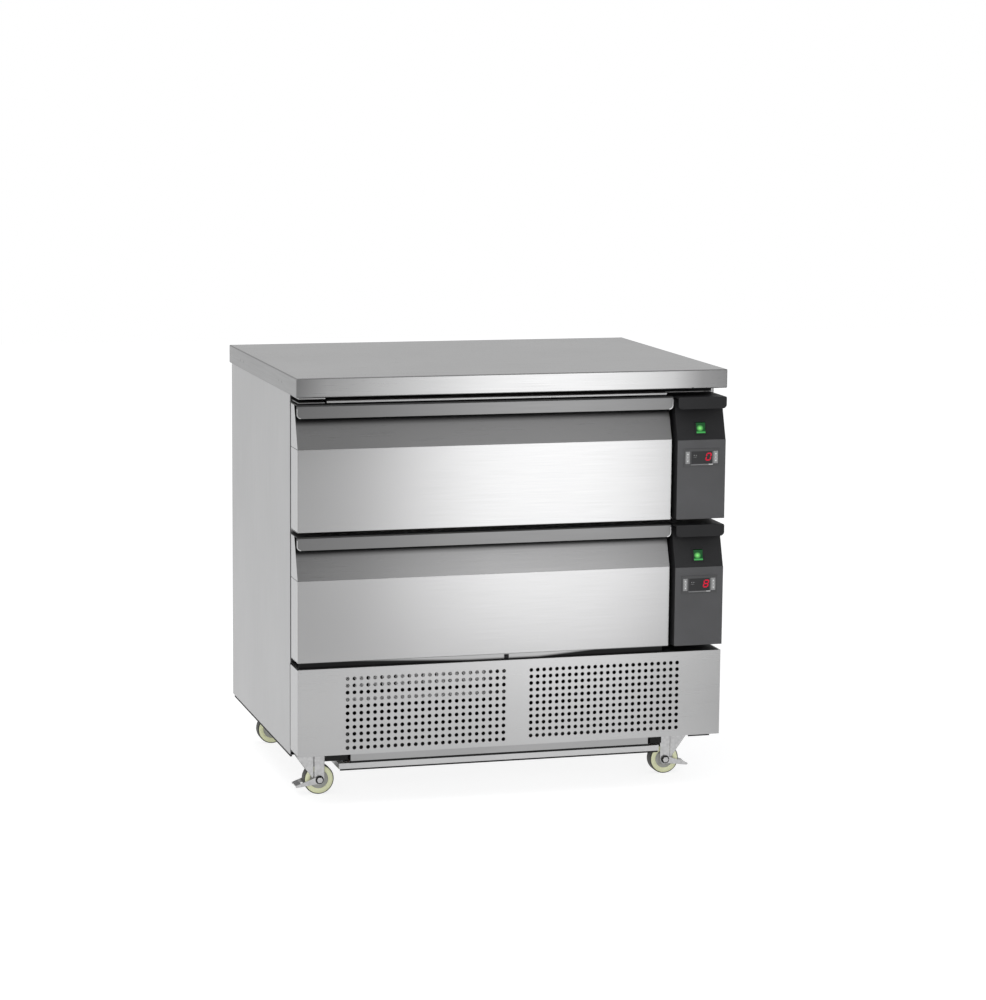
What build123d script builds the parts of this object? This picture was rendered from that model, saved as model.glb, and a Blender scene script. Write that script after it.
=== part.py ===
from build123d import *
import os
from math import atan2, cos, radians, sin, tan

os.makedirs("parts", exist_ok=True)

# Refrigerated drawer counter on castors: two insulated drawers side by side with two
# control housings, over a machine compartment with a perforated grille.
# X runs along the front, to the right as seen from the front. Y runs from the front
# to the back. Z is up, and z = 0 is the floor. The origin is under the middle.

# Heights, one above the other from the floor
castor_height = 99.0
grille_lift = 11.6
grille_height = 175.4
grille_gap = 13.0
drawer_pitch = 260.0
head_gap = 6.0
worktop_thickness = 38.0

# Widths and depths of the whole
worktop_width = 890.0
worktop_depth = 673.0
housing_proud = 20.0
frame_setback = 72.0
rear_overhang = 12.0
side_reveal = 3.0

# Sheets, foam and seams
skin = 1.2
worktop_sheet = 1.5
worktop_return = 25.0
panel_flange = 15.0
liner_sheet = 0.8
side_wall = 38.0
rear_wall = 47.0
frame_depth = 25.0
frame_cover = 40.0
floor_foam = 34.0
sill_rise = 21.8
cavity_height = 203.4
touch_gap = 0.3

# Drawer fronts and their folded handles
crease_height = 164.0
slope_top = 250.5
slope_setback = 31.5
handle_sheet = 1.5
handle_drop = 27.0
handle_overhang = 2.0
handle_bend = 5.0
lip_corner = 8.5
front_depth = 62.0
gasket_width = 14.0
gasket_cover = 7.0

# Drawer boxes and their three-part runners
box_sheet = 1.2
box_height = 165.0
box_lift = 30.0
box_rear_clearance = 6.0
runner_space = 17.5
runner_sheet = 1.5
runner_half_height = 23.0
runner_gap = 0.5
runner_start = 3.0
runner_lift = 40.0

# Control housings at the right of the drawers
housing_width = 102.5
housing_edge_gap = 5.0
housing_gap = 6.5
housing_lift = 3.0
housing_wall = 3.0
housing_drop = 1.0
housing_lip = 24.0
housing_lip_sheet = 2.0
housing_slope_depth = 28.0
plate_sheet = 1.5
controller_width = 76.0
controller_height = 36.0
controller_lift = 128.5
controller_body_width = 70.6
controller_body_height = 28.6
controller_body_depth = 55.0
bezel_proud = 1.1
key_width = 9.0
key_height = 25.0
key_inset = 3.5
key_proud = 0.4
key_travel = 0.6
key_rest_gap = 0.1
key_pocket_depth = 3.6
window_depth = 1.0
rocker_width = 19.0
rocker_length = 23.0
rocker_rise = 25.0
rocker_end_gap = 1.0
rocker_crown = 1.6
rocker_dip = 0.2
rocker_skirt = 3.0
rocker_tilt = 8.0
rocker_pivot_depth = 4.0
rocker_pin = 1.5
switch_wall = 2.7
collar_proud = 1.2
collar_depth = 7.8
well_depth = 12.8

# Cold side behind the right end of each drawer space
evaporator_width = 90.0
evaporator_pipe_gap = 33.0
evaporator_slot_count = 8
evaporator_slot = 14.0
evaporator_top_gap = 6.0
evaporator_slot_margin = 18.0
duct_width = 12.0
duct_slot_count = 5
duct_slot_pitch = 28.0
duct_slot_width = 10.0
duct_slot_height = 70.0
duct_slot_inset = 105.0
small_fan = 92.0
large_fan = 119.0
fan_depth = 38.0
fan_rim = 3.5
fan_hub = 19.0
fan_tip_gap = 1.5
fan_top_gap = 4.0
fan_side_gap = 14.0
fan_to_evaporator = 20.0
seat_depth = 6.0
strut_width = 5.0
throat_sides = 20
hub_sides = 15
blade_count = 5
blade_sheet = 2.0
root_chord_share = 0.22
tip_chord_share = 0.34
blade_pitch = 52.0
pipe_port_width = 48.0
pipe_port_depth = 34.0
pipe_port_side_gap = 4.0
pipe_port_rear_gap = 12.0

# Machine compartment
rail_flange = 91.7
rail_sheet = 3.0
web_inset = 92.0
strip_sheet = 2.0
strip_rise = 30.0
strip_drop = 24.0
strip_end = 31.0
pan_drop = 37.5
pan_height = 12.0
pan_sheet = 1.5
pan_overlap = 5.0
pan_front = 80.0
pan_rear_gap = 21.0
tab_length = 50.0
tab_inset = 90.0
condenser_width = 320.0
condenser_depth = 44.0
condenser_top_gap = 10.0
condenser_side_gap = 3.0
condenser_front_gap = 4.0
condenser_slot = 12.0
condenser_slot_count = 14
condenser_slot_margin = 20.0
compressor_radius = 75.0
compressor_sides = 20
compressor_height = 165.0
compressor_setback = 330.0
dome_height = 38.0
foot_width = 180.0
foot_length = 110.0
foot_sheet = 3.0
foot_lift = 12.0
stud_width = 16.0
stud_inset = 27.0
liquid_pipe = 3.0
suction_pipe = 5.0
pipe_sides = 8
riser_pitch = 25.0
riser_spacing = 15.0
discharge_drop = 30.0
liquid_level = 25.0
liquid_step = 12.0
suction_level = 70.0
suction_step = 30.0
liquid_inlet_lift = 60.0
suction_outlet_lift = 120.0
electrical_box_width = 66.0
electrical_box_length = 190.0
electrical_box_height = 135.0
electrical_box_shift = 40.0
electrical_box_setback = 350.0
electrical_box_edge = 4.0

# Back panel openings and the power inlet
inlet_side_inset = 45.0
inlet_lift = 66.0
inlet_width = 28.0
inlet_height = 20.0
inlet_flange_width = 50.0
inlet_flange_height = 26.0
inlet_flange_sheet = 2.0
inlet_depth = 18.0
inlet_well_depth = 15.0
inlet_wall = 2.5
inlet_pin_width = 2.0
inlet_pin_height = 4.0
inlet_pin_length = 12.0
inlet_pin_pitch = 7.0
inlet_pin_offset = 2.0
vent_columns = 3
vent_rows = 5
vent_slot_length = 120.0
vent_slot_width = 6.0
vent_column_pitch = 190.0
vent_row_pitch = 20.0

# Grille: two blocks of square perforations
hole_size = 8.0
hole_columns = 8
hole_rows = 6
block_width = 317.0
block_height = 137.0
left_block_shift = -180.5
right_block_shift = 193.0
block_drop = 91.0

# Castors
castor_side_inset = 44.0
castor_front_inset = 70.0
castor_rear_inset = 58.0
castor_plate = 60.0
castor_plate_sheet = 3.0
wheel_radius = 31.0
wheel_width = 25.0
tread_chamfer = 3.0
axle_radius = 4.0
castor_trail = 28.0
race_radius = 19.0
race_sides = 16
race_height = 8.0
kingpin_radius = 5.0
kingpin_end_gap = 1.0
fork_cap = 3.0
fork_root = 10.0
fork_shift = 10.0
cheek_sheet = 2.5
cheek_gap = 1.5
cheek_radius = 10.5
cheek_sides = 12
axle_nut = 6.5
nut_height = 4.0
pedal_gap = 0.3
pedal_sheet = 2.0
pedal_root = 8.0
pedal_tip = 2.5
pedal_reach = 49.0
pedal_fall = 14.0
tread_width = 12.0
tread_sheet = 3.0
tread_shift = 5.0
running_fit = 0.05

# Planes that follow from the sizes above
half_width = worktop_width / 2
cabinet_half = half_width - side_reveal
inner_half = cabinet_half - skin
face_y = (housing_proud - worktop_depth) / 2
back_y = face_y + worktop_depth
frame_y = face_y + frame_setback
frame_back = frame_y + frame_depth
rear_y = back_y - rear_overhang
foam_back = rear_y - skin
cavity_back = foam_back - rear_wall - liner_sheet

cabinet_bottom = castor_height
grille_bottom = castor_height + grille_lift
grille_top = grille_bottom + grille_height
drawer_bottoms = [grille_top + grille_gap + bay * drawer_pitch for bay in range(2)]
bays = ["lower", "upper"]
worktop_under = drawer_bottoms[1] + drawer_pitch + head_gap
foam_top = worktop_under - skin

housing_right = cabinet_half - housing_edge_gap
housing_left = housing_right - housing_width
front_left = -cabinet_half
front_right = housing_left - housing_gap
cavity_left = -inner_half + side_wall + liner_sheet
cavity_right = -cavity_left
drawer_space_right = front_right - frame_cover
cavities = [(bottom + sill_rise, bottom + sill_rise + cavity_height) for bottom in drawer_bottoms]
foam_bottom = cavities[0][0] - liner_sheet - floor_foam
front_back_y = face_y + front_depth
box_left = cavity_left + runner_space
box_right = drawer_space_right - runner_space
box_back = cavity_back - box_rear_clearance

flange_outer = cabinet_half - panel_flange - touch_gap
flange_inner = flange_outer - rail_flange
pan_half = flange_inner + pan_overlap
pan_low = cabinet_bottom - pan_drop
pan_floor = pan_low + pan_sheet
unit_shift = flange_inner - condenser_width / 2 - condenser_side_gap
unit_centres = [-unit_shift, unit_shift]


def save(piece, label):
    """Name a finished piece and write it under that name."""
    piece.part.label = label
    export_step(piece.part, f"parts/{label}.step")


def block(x, y, z, mode=Mode.ADD):
    """Put a box between its low and high limits along each axis."""
    with Locations(((x[0] + x[1]) / 2, (y[0] + y[1]) / 2, (z[0] + z[1]) / 2)):
        Box(x[1] - x[0], y[1] - y[0], z[1] - z[0], mode=mode)


def outline(plane, points):
    """Closed face through points on a plane."""
    with BuildSketch(plane) as face:
        with BuildLine():
            Polyline(*points, close=True)
        make_face()
    return face.sketch


def folded_strip(plane, points, thickness, side, bend):
    """Section of a sheet folded along points, with round bends."""
    with BuildSketch(plane) as section:
        with BuildLine():
            FilletPolyline(*points, radius=bend)
            offset(amount=thickness, side=side)
        make_face()
    return section.sketch


def side_plane(x):
    """Plane square to X at x, with Y to the right and Z up."""
    return Plane(origin=(x, 0, 0), x_dir=(0, 1, 0), z_dir=(1, 0, 0))


def front_plane(y):
    """Plane square to Y at y, with X to the right and Z up, facing the front."""
    return Plane(origin=(0, y, 0), x_dir=(1, 0, 0), z_dir=(0, -1, 0))


# Worktop: a folded tray with its skirts returned inward under the rim
with BuildPart() as worktop:
    with BuildSketch(Plane.XY.offset(worktop_under)):
        with Locations((0, (face_y + back_y) / 2)):
            Rectangle(worktop_width, worktop_depth)
    extrude(amount=worktop_thickness)
    with BuildSketch(Plane.XY.offset(worktop_under + worktop_sheet)):
        with Locations((0, (face_y + back_y) / 2)):
            Rectangle(worktop_width - 2 * worktop_sheet, worktop_depth - 2 * worktop_sheet)
    extrude(amount=worktop_thickness - 2 * worktop_sheet, mode=Mode.SUBTRACT)
    with BuildSketch(Plane.XY.offset(worktop_under)):
        with Locations((0, (face_y + back_y) / 2)):
            Rectangle(worktop_width - 2 * worktop_return, worktop_depth - 2 * worktop_return)
    extrude(amount=worktop_sheet, mode=Mode.SUBTRACT)
save(worktop, "worktop")


# Side panels: sheets with their top and bottom edges turned inward
def side_panel(sign):
    edge = sign * (cabinet_half - panel_flange)
    path = [
        (edge, cabinet_bottom),
        (sign * cabinet_half, cabinet_bottom),
        (sign * cabinet_half, worktop_under),
        (edge, worktop_under),
    ]
    inward = Side.RIGHT if sign < 0 else Side.LEFT
    with BuildPart() as panel:
        section = folded_strip(front_plane(rear_y), path, skin, inward, skin)
        extrude(section, amount=rear_y - frame_y, dir=(0, -1, 0))
    return panel


save(side_panel(-1), "left_side_panel")
save(side_panel(1), "right_side_panel")

# Back panel, with air slots at the machine compartment and the power inlet's hole
inlet_x = inner_half - inlet_side_inset
inlet_z = cabinet_bottom + inlet_lift
with BuildPart() as back_panel:
    block((-inner_half, inner_half), (foam_back, rear_y), (cabinet_bottom + skin, foam_top))
    with BuildSketch(front_plane(rear_y)):
        with Locations((0, cabinet_bottom + grille_height / 2 + skin)):
            with GridLocations(vent_column_pitch, vent_row_pitch, vent_columns, vent_rows):
                Rectangle(vent_slot_length, vent_slot_width)
        with Locations((inlet_x, inlet_z)):
            Rectangle(inlet_width, inlet_height)
    extrude(amount=skin, mode=Mode.SUBTRACT)
save(back_panel, "back_panel")

# Front frame: two posts, and rails between them, that the drawer gaskets close against
with BuildPart() as front_frame:
    for post in [(-inner_half, cavity_left), (drawer_space_right, inner_half)]:
        block(post, (frame_y, frame_back), (foam_bottom, foam_top))
    rail = (cavity_left + touch_gap, drawer_space_right - touch_gap)
    rail_edges = [foam_bottom, *cavities[0], *cavities[1], foam_top]
    for low, high in zip(rail_edges[0::2], rail_edges[1::2]):
        block(rail, (frame_y, frame_back), (low, high))
save(front_frame, "front_frame")

# Foam behind the side panels, between and around the drawer spaces, and at the back
foam_front = frame_back
foam_rear_face = cavity_back + liner_sheet
with BuildPart() as insulation_walls:
    for x in [(-inner_half, -inner_half + side_wall), (inner_half - side_wall, inner_half)]:
        block(x, (foam_front, foam_back), (foam_bottom, foam_top))
save(insulation_walls, "insulation_walls")

port_x = drawer_space_right + 2 * skin + pipe_port_width / 2 + pipe_port_side_gap
port_y = cavity_back - pipe_port_depth / 2 - pipe_port_rear_gap
slab_levels = [
    (foam_bottom, cavities[0][0] - liner_sheet),
    (cavities[0][1] + liner_sheet, cavities[1][0] - liner_sheet),
    (cavities[1][1] + liner_sheet, foam_top),
]
slab_half = inner_half - side_wall


def pipe_port(z, height):
    """Cut the slot that the refrigerant pipes pass through."""
    with Locations((port_x, port_y, z + height / 2)):
        Box(pipe_port_width, pipe_port_depth, height, mode=Mode.SUBTRACT)


with BuildPart() as insulation_slabs:
    for low, high in slab_levels:
        block((-slab_half, slab_half), (foam_front, foam_rear_face), (low, high))
    for low, high in slab_levels[:2]:
        pipe_port(low, high - low)
save(insulation_slabs, "insulation_slabs")

with BuildPart() as insulation_back:
    block((-slab_half, slab_half), (foam_rear_face, foam_back), (foam_bottom, foam_top))
save(insulation_back, "insulation_back")

# Liners: thin boxes with an open front inside the foam
with BuildPart() as compartment_liners:
    for low, high in cavities:
        shell = (low - liner_sheet, high + liner_sheet)
        block((-slab_half, slab_half), (foam_front, foam_rear_face), shell)
        block((cavity_left, cavity_right), (foam_front, cavity_back), (low, high), Mode.SUBTRACT)
    pipe_port(cavities[0][0] - liner_sheet, liner_sheet)
    pipe_port(cavities[0][1], liner_sheet)
    pipe_port(cavities[1][0] - liner_sheet, liner_sheet)
save(compartment_liners, "compartment_liners")

# Duct panels between each drawer space and its evaporator
duct_plane_x = drawer_space_right
fan_y = frame_back + fan_side_gap + small_fan / 2
fan_levels = [high - fan_top_gap - small_fan / 2 for low, high in cavities]
fan_opening = small_fan / 2 - fan_rim
with BuildPart() as duct_panels:
    for (low, high), fan_z in zip(cavities, fan_levels):
        block((duct_plane_x, duct_plane_x + skin), (foam_front, cavity_back), (low, high))
        with BuildSketch(side_plane(duct_plane_x)):
            with Locations((fan_y, fan_z)):
                RegularPolygon(fan_opening, throat_sides, major_radius=False)
            with Locations((cavity_back - duct_slot_inset, fan_z)):
                with GridLocations(duct_slot_pitch, 1, duct_slot_count, 1):
                    Rectangle(duct_slot_width, duct_slot_height)
        extrude(amount=skin, mode=Mode.SUBTRACT)
save(duct_panels, "duct_panels")

# Evaporators: blocks of upright fins that stand on the liner floor
evaporator_left = duct_plane_x + skin + duct_width
evaporator_start = fan_y + small_fan / 2 + fan_to_evaporator
evaporator_end = port_y - pipe_port_depth / 2 - evaporator_pipe_gap
evaporator_length = evaporator_end - evaporator_start
evaporator_step = evaporator_length / evaporator_slot_count
with BuildPart() as evaporators:
    for low, high in cavities:
        block(
            (evaporator_left, evaporator_left + evaporator_width),
            (evaporator_start, evaporator_end),
            (low, high - evaporator_top_gap),
        )
        with BuildSketch(side_plane(evaporator_left)):
            with Locations((evaporator_start + evaporator_length / 2, (low + high) / 2)):
                with GridLocations(evaporator_step, 1, evaporator_slot_count, 1):
                    Rectangle(evaporator_slot, cavity_height - 2 * evaporator_slot_margin)
        extrude(amount=evaporator_width, mode=Mode.SUBTRACT)
save(evaporators, "evaporators")

# Fan frames: square rims with a round throat and a motor seat held by struts
condenser_front = face_y + pan_front + condenser_front_gap
condenser_back = condenser_front + condenser_depth
condenser_top = foam_bottom - condenser_top_gap
large_fan_z = (pan_floor + condenser_top) / 2
small_fan_planes = [
    Plane(origin=(duct_plane_x + skin, fan_y, fan_z), x_dir=(0, 1, 0), z_dir=(1, 0, 0))
    for fan_z in fan_levels
]
large_fan_planes = [
    Plane(origin=(x, condenser_back, large_fan_z), x_dir=(-1, 0, 0), z_dir=(0, 1, 0))
    for x in unit_centres
]


def fan_frame(plane, size):
    """Square fan frame whose rear face lies on the plane's far side."""
    throat = size / 2 - fan_rim
    with BuildPart() as frame:
        with BuildSketch(plane):
            Rectangle(size, size)
            RegularPolygon(throat, throat_sides, major_radius=False, mode=Mode.SUBTRACT)
        extrude(amount=fan_depth)
        with BuildSketch(plane.offset(fan_depth - seat_depth)):
            Rectangle(2 * throat + fan_rim, strut_width)
            Rectangle(strut_width, 2 * throat + fan_rim)
            RegularPolygon(fan_hub, hub_sides)
        extrude(amount=seat_depth)
    return frame.part


with BuildPart() as fan_frames:
    for plane in small_fan_planes:
        add(fan_frame(plane, small_fan))
    for plane in large_fan_planes:
        add(fan_frame(plane, large_fan))
save(fan_frames, "fan_frames")

# Fan rotors: a hub with pitched, widening blades, in front of the motor seat
rotor_length = fan_depth - seat_depth - fan_tip_gap - touch_gap


def blade_plane(plane, blade):
    """Plane of one blade, with X pointing outward and Y along the pitched chord."""
    turn = Location((0, 0, 0), (0, 0, 360.0 / blade_count * blade))
    pitch = Location((0, 0, 0), (90.0 - blade_pitch, 0, 0))
    return Plane(plane.location * turn * pitch)


def fan_rotor(plane, size):
    """Axial rotor of one fan frame."""
    root_chord = root_chord_share * size
    tip_chord = tip_chord_share * size
    half_span = tip_chord / 2 * sin(radians(blade_pitch))
    root = fan_hub - blade_sheet
    tip = ((size / 2 - fan_rim - fan_tip_gap) ** 2 - half_span**2) ** 0.5 - blade_sheet
    blade_outline = [
        (root, -root_chord / 2),
        (tip, -tip_chord / 2),
        (tip, tip_chord / 2),
        (root, root_chord / 2),
    ]
    middle = plane.offset(fan_tip_gap + rotor_length / 2)
    with BuildPart() as rotor:
        with BuildSketch(plane.offset(fan_tip_gap)):
            RegularPolygon(fan_hub, hub_sides)
        extrude(amount=rotor_length)
        for blade in range(blade_count):
            extrude(outline(blade_plane(middle, blade), blade_outline), amount=blade_sheet / 2, both=True)
    return rotor


fan_names = ["lower_evaporator_fan", "upper_evaporator_fan", "left_condenser_fan", "right_condenser_fan"]
fan_sizes = [small_fan, small_fan, large_fan, large_fan]
for name, plane, size in zip(fan_names, small_fan_planes + large_fan_planes, fan_sizes):
    save(fan_rotor(plane, size), name)

# Drawer fronts: folded skins over a foam core, with a slope behind the handle
slope_angle = atan2(slope_setback, slope_top - crease_height)


def front_outline(inset, bottom):
    """Side view of a drawer front, drawn in by a sheet, as Y and Z points."""
    crease = crease_height - inset * tan(slope_angle / 2)
    slope_back = slope_setback + inset / cos(slope_angle)
    return [
        (front_back_y, bottom + inset),
        (face_y + inset, bottom + inset),
        (face_y + inset, bottom + crease),
        (face_y + slope_back, bottom + slope_top),
        (front_back_y, bottom + slope_top),
    ]


def drawer_front(bottom):
    with BuildPart() as front:
        extrude(outline(side_plane(front_left), front_outline(0, bottom)), amount=front_right - front_left)
        core = outline(side_plane(front_left + skin), front_outline(skin, bottom))
        extrude(core, amount=front_right - front_left - 2 * skin, mode=Mode.SUBTRACT)
    return front


def drawer_inner_panel(bottom):
    with BuildPart() as panel:
        core = outline(side_plane(front_left + skin), front_outline(skin, bottom))
        extrude(core, amount=front_right - front_left - 2 * skin)
    return panel


def drawer_handle(bottom):
    lip_bottom = bottom + slope_top + handle_sheet - handle_drop
    flange_top = bottom + slope_top + handle_sheet
    path = [(face_y, lip_bottom), (face_y, flange_top), (front_back_y, flange_top)]
    left = front_left - handle_overhang
    with BuildPart() as handle:
        section = folded_strip(side_plane(left), path, handle_sheet, Side.RIGHT, handle_bend)
        extrude(section, amount=front_right - front_left + 2 * handle_overhang, dir=(1, 0, 0))
        lip_ends = handle.edges().filter_by(Axis.Y).group_by(Axis.Z)[0]
        fillet(lip_ends, radius=lip_corner)
    return handle


def drawer_gasket(cavity):
    low, high = cavity
    left = cavity_left - gasket_cover - gasket_width
    right = drawer_space_right + gasket_cover + gasket_width
    reach = gasket_cover + gasket_width
    middle = ((left + right) / 2, (low + high) / 2)
    width = right - left
    height = high - low + 2 * reach
    with BuildPart() as gasket:
        with BuildSketch(front_plane(front_back_y)):
            with Locations(middle):
                Rectangle(width, height)
                Rectangle(width - 2 * gasket_width, height - 2 * gasket_width, mode=Mode.SUBTRACT)
        extrude(amount=-(frame_setback - front_depth - touch_gap))
    return gasket


def drawer_box(bottom):
    floor = bottom + box_lift
    with BuildPart() as box:
        block((box_left, box_right), (front_back_y, box_back), (floor, floor + box_height))
        block(
            (box_left + box_sheet, box_right - box_sheet),
            (front_back_y + box_sheet, box_back - box_sheet),
            (floor + box_sheet, floor + box_height),
            Mode.SUBTRACT,
        )
    return box


# Runners: a fixed, a middle and a drawer member, folded channels one inside the other
runner_front = frame_y + runner_start
runner_length = box_back - runner_front
fixed_depth = 12.0
middle_depth = 12.5
inner_depth = 10.5
middle_half = runner_half_height - runner_sheet - runner_gap
inner_half_height = middle_half - runner_sheet - runner_gap
middle_web = runner_sheet + runner_gap


def channel(x, z, depth, half_height, sign):
    """One runner member: a channel whose web is at x and whose flanges point along sign."""
    tip = x + sign * depth
    web = x + sign * runner_sheet
    section = [
        (tip, z - half_height),
        (x, z - half_height),
        (x, z + half_height),
        (tip, z + half_height),
        (tip, z + half_height - runner_sheet),
        (web, z + half_height - runner_sheet),
        (web, z - half_height + runner_sheet),
        (tip, z - half_height + runner_sheet),
    ]
    with BuildPart() as member:
        extrude(outline(front_plane(runner_front), section), amount=runner_length, dir=(0, 1, 0))
    return member.part


def runner_pair(bottom, offset, depth, half_height, open_inward):
    """The same member at the left and at the right of a drawer."""
    z = bottom + box_lift + runner_lift
    opening = 1 if open_inward else -1
    with BuildPart() as pair:
        add(channel(cavity_left + offset, z, depth, half_height, opening))
        add(channel(drawer_space_right - offset, z, depth, half_height, -opening))
    return pair


with BuildPart() as cabinet_runners:
    for bottom in drawer_bottoms:
        add(runner_pair(bottom, 0.0, fixed_depth, runner_half_height, True).part)
save(cabinet_runners, "cabinet_runners")

for bay, bottom, cavity in zip(bays, drawer_bottoms, cavities):
    save(drawer_front(bottom), f"{bay}_drawer_front")
    save(drawer_inner_panel(bottom), f"{bay}_drawer_inner_panel")
    save(drawer_handle(bottom), f"{bay}_drawer_handle")
    save(drawer_gasket(cavity), f"{bay}_drawer_gasket")
    save(drawer_box(bottom), f"{bay}_drawer_box")
    save(runner_pair(bottom, middle_web, middle_depth, middle_half, True), f"{bay}_middle_runners")
    save(runner_pair(bottom, runner_space, inner_depth, inner_half_height, False), f"{bay}_drawer_runners")

# Control housings: moulded shells with the drawers' own fold line and a lip on top
housing_front = face_y - housing_proud + plate_sheet + plate_sheet
housing_slope = atan2(housing_slope_depth, slope_top - housing_wall - crease_height)
rocker_centre_x = (housing_left + housing_right) / 2
controller_x = (housing_left + housing_right) / 2


def housing_plane(bottom):
    """Plane on the housing's slope at the rocker, with Y up the slope."""
    z = bottom + crease_height + rocker_rise * cos(housing_slope)
    y = housing_front + rocker_rise * sin(housing_slope)
    normal = (0, -cos(housing_slope), sin(housing_slope))
    return Plane(origin=(rocker_centre_x, y, z), x_dir=(1, 0, 0), z_dir=normal)


def control_housing(bottom):
    low = bottom + housing_lift
    top = bottom + slope_top + handle_sheet - housing_drop
    slope_end = top - housing_wall
    slope_back = housing_front + (slope_end - bottom - crease_height) * tan(housing_slope)
    lip_front = face_y - housing_proud
    lip_back = lip_front + housing_lip_sheet
    outer = [
        (frame_y, low),
        (housing_front, low),
        (housing_front, bottom + crease_height),
        (slope_back, slope_end),
        (lip_back, slope_end),
        (lip_back, top - housing_lip),
        (lip_front, top - housing_lip),
        (lip_front, top),
        (frame_y, top),
    ]
    wall = housing_wall
    crease = bottom + crease_height - wall * tan(housing_slope / 2)
    inner = [
        (frame_y, low + wall),
        (housing_front + wall, low + wall),
        (housing_front + wall, crease),
        (slope_back + wall / cos(housing_slope), slope_end),
        (frame_y, slope_end),
    ]
    with BuildPart() as housing:
        extrude(outline(side_plane(housing_left), outer), amount=housing_width)
        fillet(housing.edges().filter_by(Axis.Y).group_by(Axis.Z)[1], radius=lip_corner - 0.5)
        hollow = outline(side_plane(housing_left + wall), inner)
        extrude(hollow, amount=housing_width - 2 * wall, mode=Mode.SUBTRACT)
        with BuildSketch(front_plane(housing_front)):
            with Locations((controller_x, bottom + controller_lift)):
                Rectangle(controller_body_width + 2 * touch_gap, controller_body_height + 2 * touch_gap)
        extrude(amount=-wall, mode=Mode.SUBTRACT)
        slope = housing_plane(bottom)
        with BuildSketch(slope.offset(collar_proud)):
            Rectangle(rocker_width + 2 * (touch_gap + switch_wall), rocker_length + 2 * switch_wall)
        extrude(amount=-collar_proud - collar_depth)
        with BuildSketch(slope.offset(collar_proud)):
            Rectangle(rocker_width + 2 * touch_gap, rocker_length)
        extrude(amount=-collar_proud - well_depth, mode=Mode.SUBTRACT)
        pivot = Plane(slope.origin - slope.z_dir * rocker_pivot_depth, x_dir=(0, 1, 0), z_dir=(1, 0, 0))
        with BuildSketch(pivot.offset(-housing_width / 4)):
            Circle(rocker_pin + running_fit)
        extrude(amount=housing_width / 2, mode=Mode.SUBTRACT)
    return housing.part


with BuildPart() as control_housings:
    for bottom in drawer_bottoms:
        add(control_housing(bottom))
save(control_housings, "control_housings")

# Face plates on the housings' flat fronts
with BuildPart() as face_plates:
    for bottom in drawer_bottoms:
        low = bottom + housing_lift
        high = bottom + crease_height
        with BuildSketch(front_plane(housing_front)):
            with Locations(((housing_left + housing_right) / 2, (low + high) / 2)):
                Rectangle(housing_width, high - low)
            with Locations((controller_x, bottom + controller_lift)):
                Rectangle(
                    controller_body_width + 2 * touch_gap,
                    controller_body_height + 2 * touch_gap,
                    mode=Mode.SUBTRACT,
                )
        extrude(amount=plate_sheet)
save(face_plates, "face_plates")

# Controllers: a body through the housing, a bezel with a window and two key columns
plate_front = housing_front - plate_sheet
bezel_front = plate_front - bezel_proud
key_shift = controller_width / 2 - key_inset - key_width / 2
window_width = controller_width - 4 * key_inset - 2 * key_width
window_height = key_height
with BuildPart() as controllers:
    for bottom in drawer_bottoms:
        centre = (controller_x, bottom + controller_lift)
        with BuildSketch(front_plane(bezel_front)):
            with Locations(centre):
                Rectangle(controller_width, controller_height)
        extrude(amount=-bezel_proud)
        with BuildSketch(front_plane(plate_front)):
            with Locations(centre):
                Rectangle(controller_body_width, controller_body_height)
        extrude(amount=-controller_body_depth)
        with BuildSketch(front_plane(bezel_front)):
            with Locations(centre):
                with Locations((-key_shift, 0), (key_shift, 0)):
                    Rectangle(key_width + 2 * touch_gap, key_height + 2 * touch_gap)
        extrude(amount=-key_pocket_depth, mode=Mode.SUBTRACT)
        with BuildSketch(front_plane(bezel_front)):
            with Locations(centre):
                Rectangle(window_width, window_height)
        extrude(amount=-window_depth, mode=Mode.SUBTRACT)
save(controllers, "controllers")

with BuildPart() as display_windows:
    for bottom in drawer_bottoms:
        with BuildSketch(front_plane(bezel_front)):
            with Locations((controller_x, bottom + controller_lift)):
                Rectangle(window_width, window_height)
        extrude(amount=-window_depth)
save(display_windows, "display_windows")

key_length = key_proud + key_pocket_depth - key_travel - key_rest_gap


def key_column(bottom, shift):
    with BuildPart() as keys:
        with BuildSketch(front_plane(bezel_front - key_proud)):
            with Locations((controller_x + shift, bottom + controller_lift)):
                Rectangle(key_width, key_height)
        extrude(amount=-key_length)
    return keys


def rocker(bottom):
    """Shallow V-shaped rocker on two pins, at rest with its upper half out."""
    slope = housing_plane(bottom)
    middle = Plane(slope.origin, x_dir=slope.y_dir, z_dir=(1, 0, 0))
    half = rocker_length / 2 - rocker_end_gap
    tilt = radians(rocker_tilt)
    depth = -rocker_pivot_depth
    base = depth - rocker_skirt
    level = [(-half, base), (-half, rocker_crown), (0, rocker_dip), (half, rocker_crown), (half, base)]
    profile = []
    for along, out in level:
        rise = out - depth
        turned_along = along * cos(tilt) - rise * sin(tilt)
        turned_out = along * sin(tilt) + rise * cos(tilt) + depth
        profile.append((turned_along, turned_out))
    with BuildPart() as button:
        face = outline(middle.offset(-rocker_width / 2), profile)
        extrude(face, amount=rocker_width, dir=(1, 0, 0))
        pin_half = rocker_width / 2 + touch_gap + switch_wall
        with BuildSketch(middle.offset(-pin_half)):
            with Locations((0, -rocker_pivot_depth)):
                Circle(rocker_pin)
        extrude(amount=2 * pin_half)
    return button


for bay, bottom in zip(bays, drawer_bottoms):
    save(key_column(bottom, -key_shift), f"{bay}_left_keys")
    save(key_column(bottom, key_shift), f"{bay}_right_keys")
    save(rocker(bottom), f"{bay}_switch")

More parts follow.
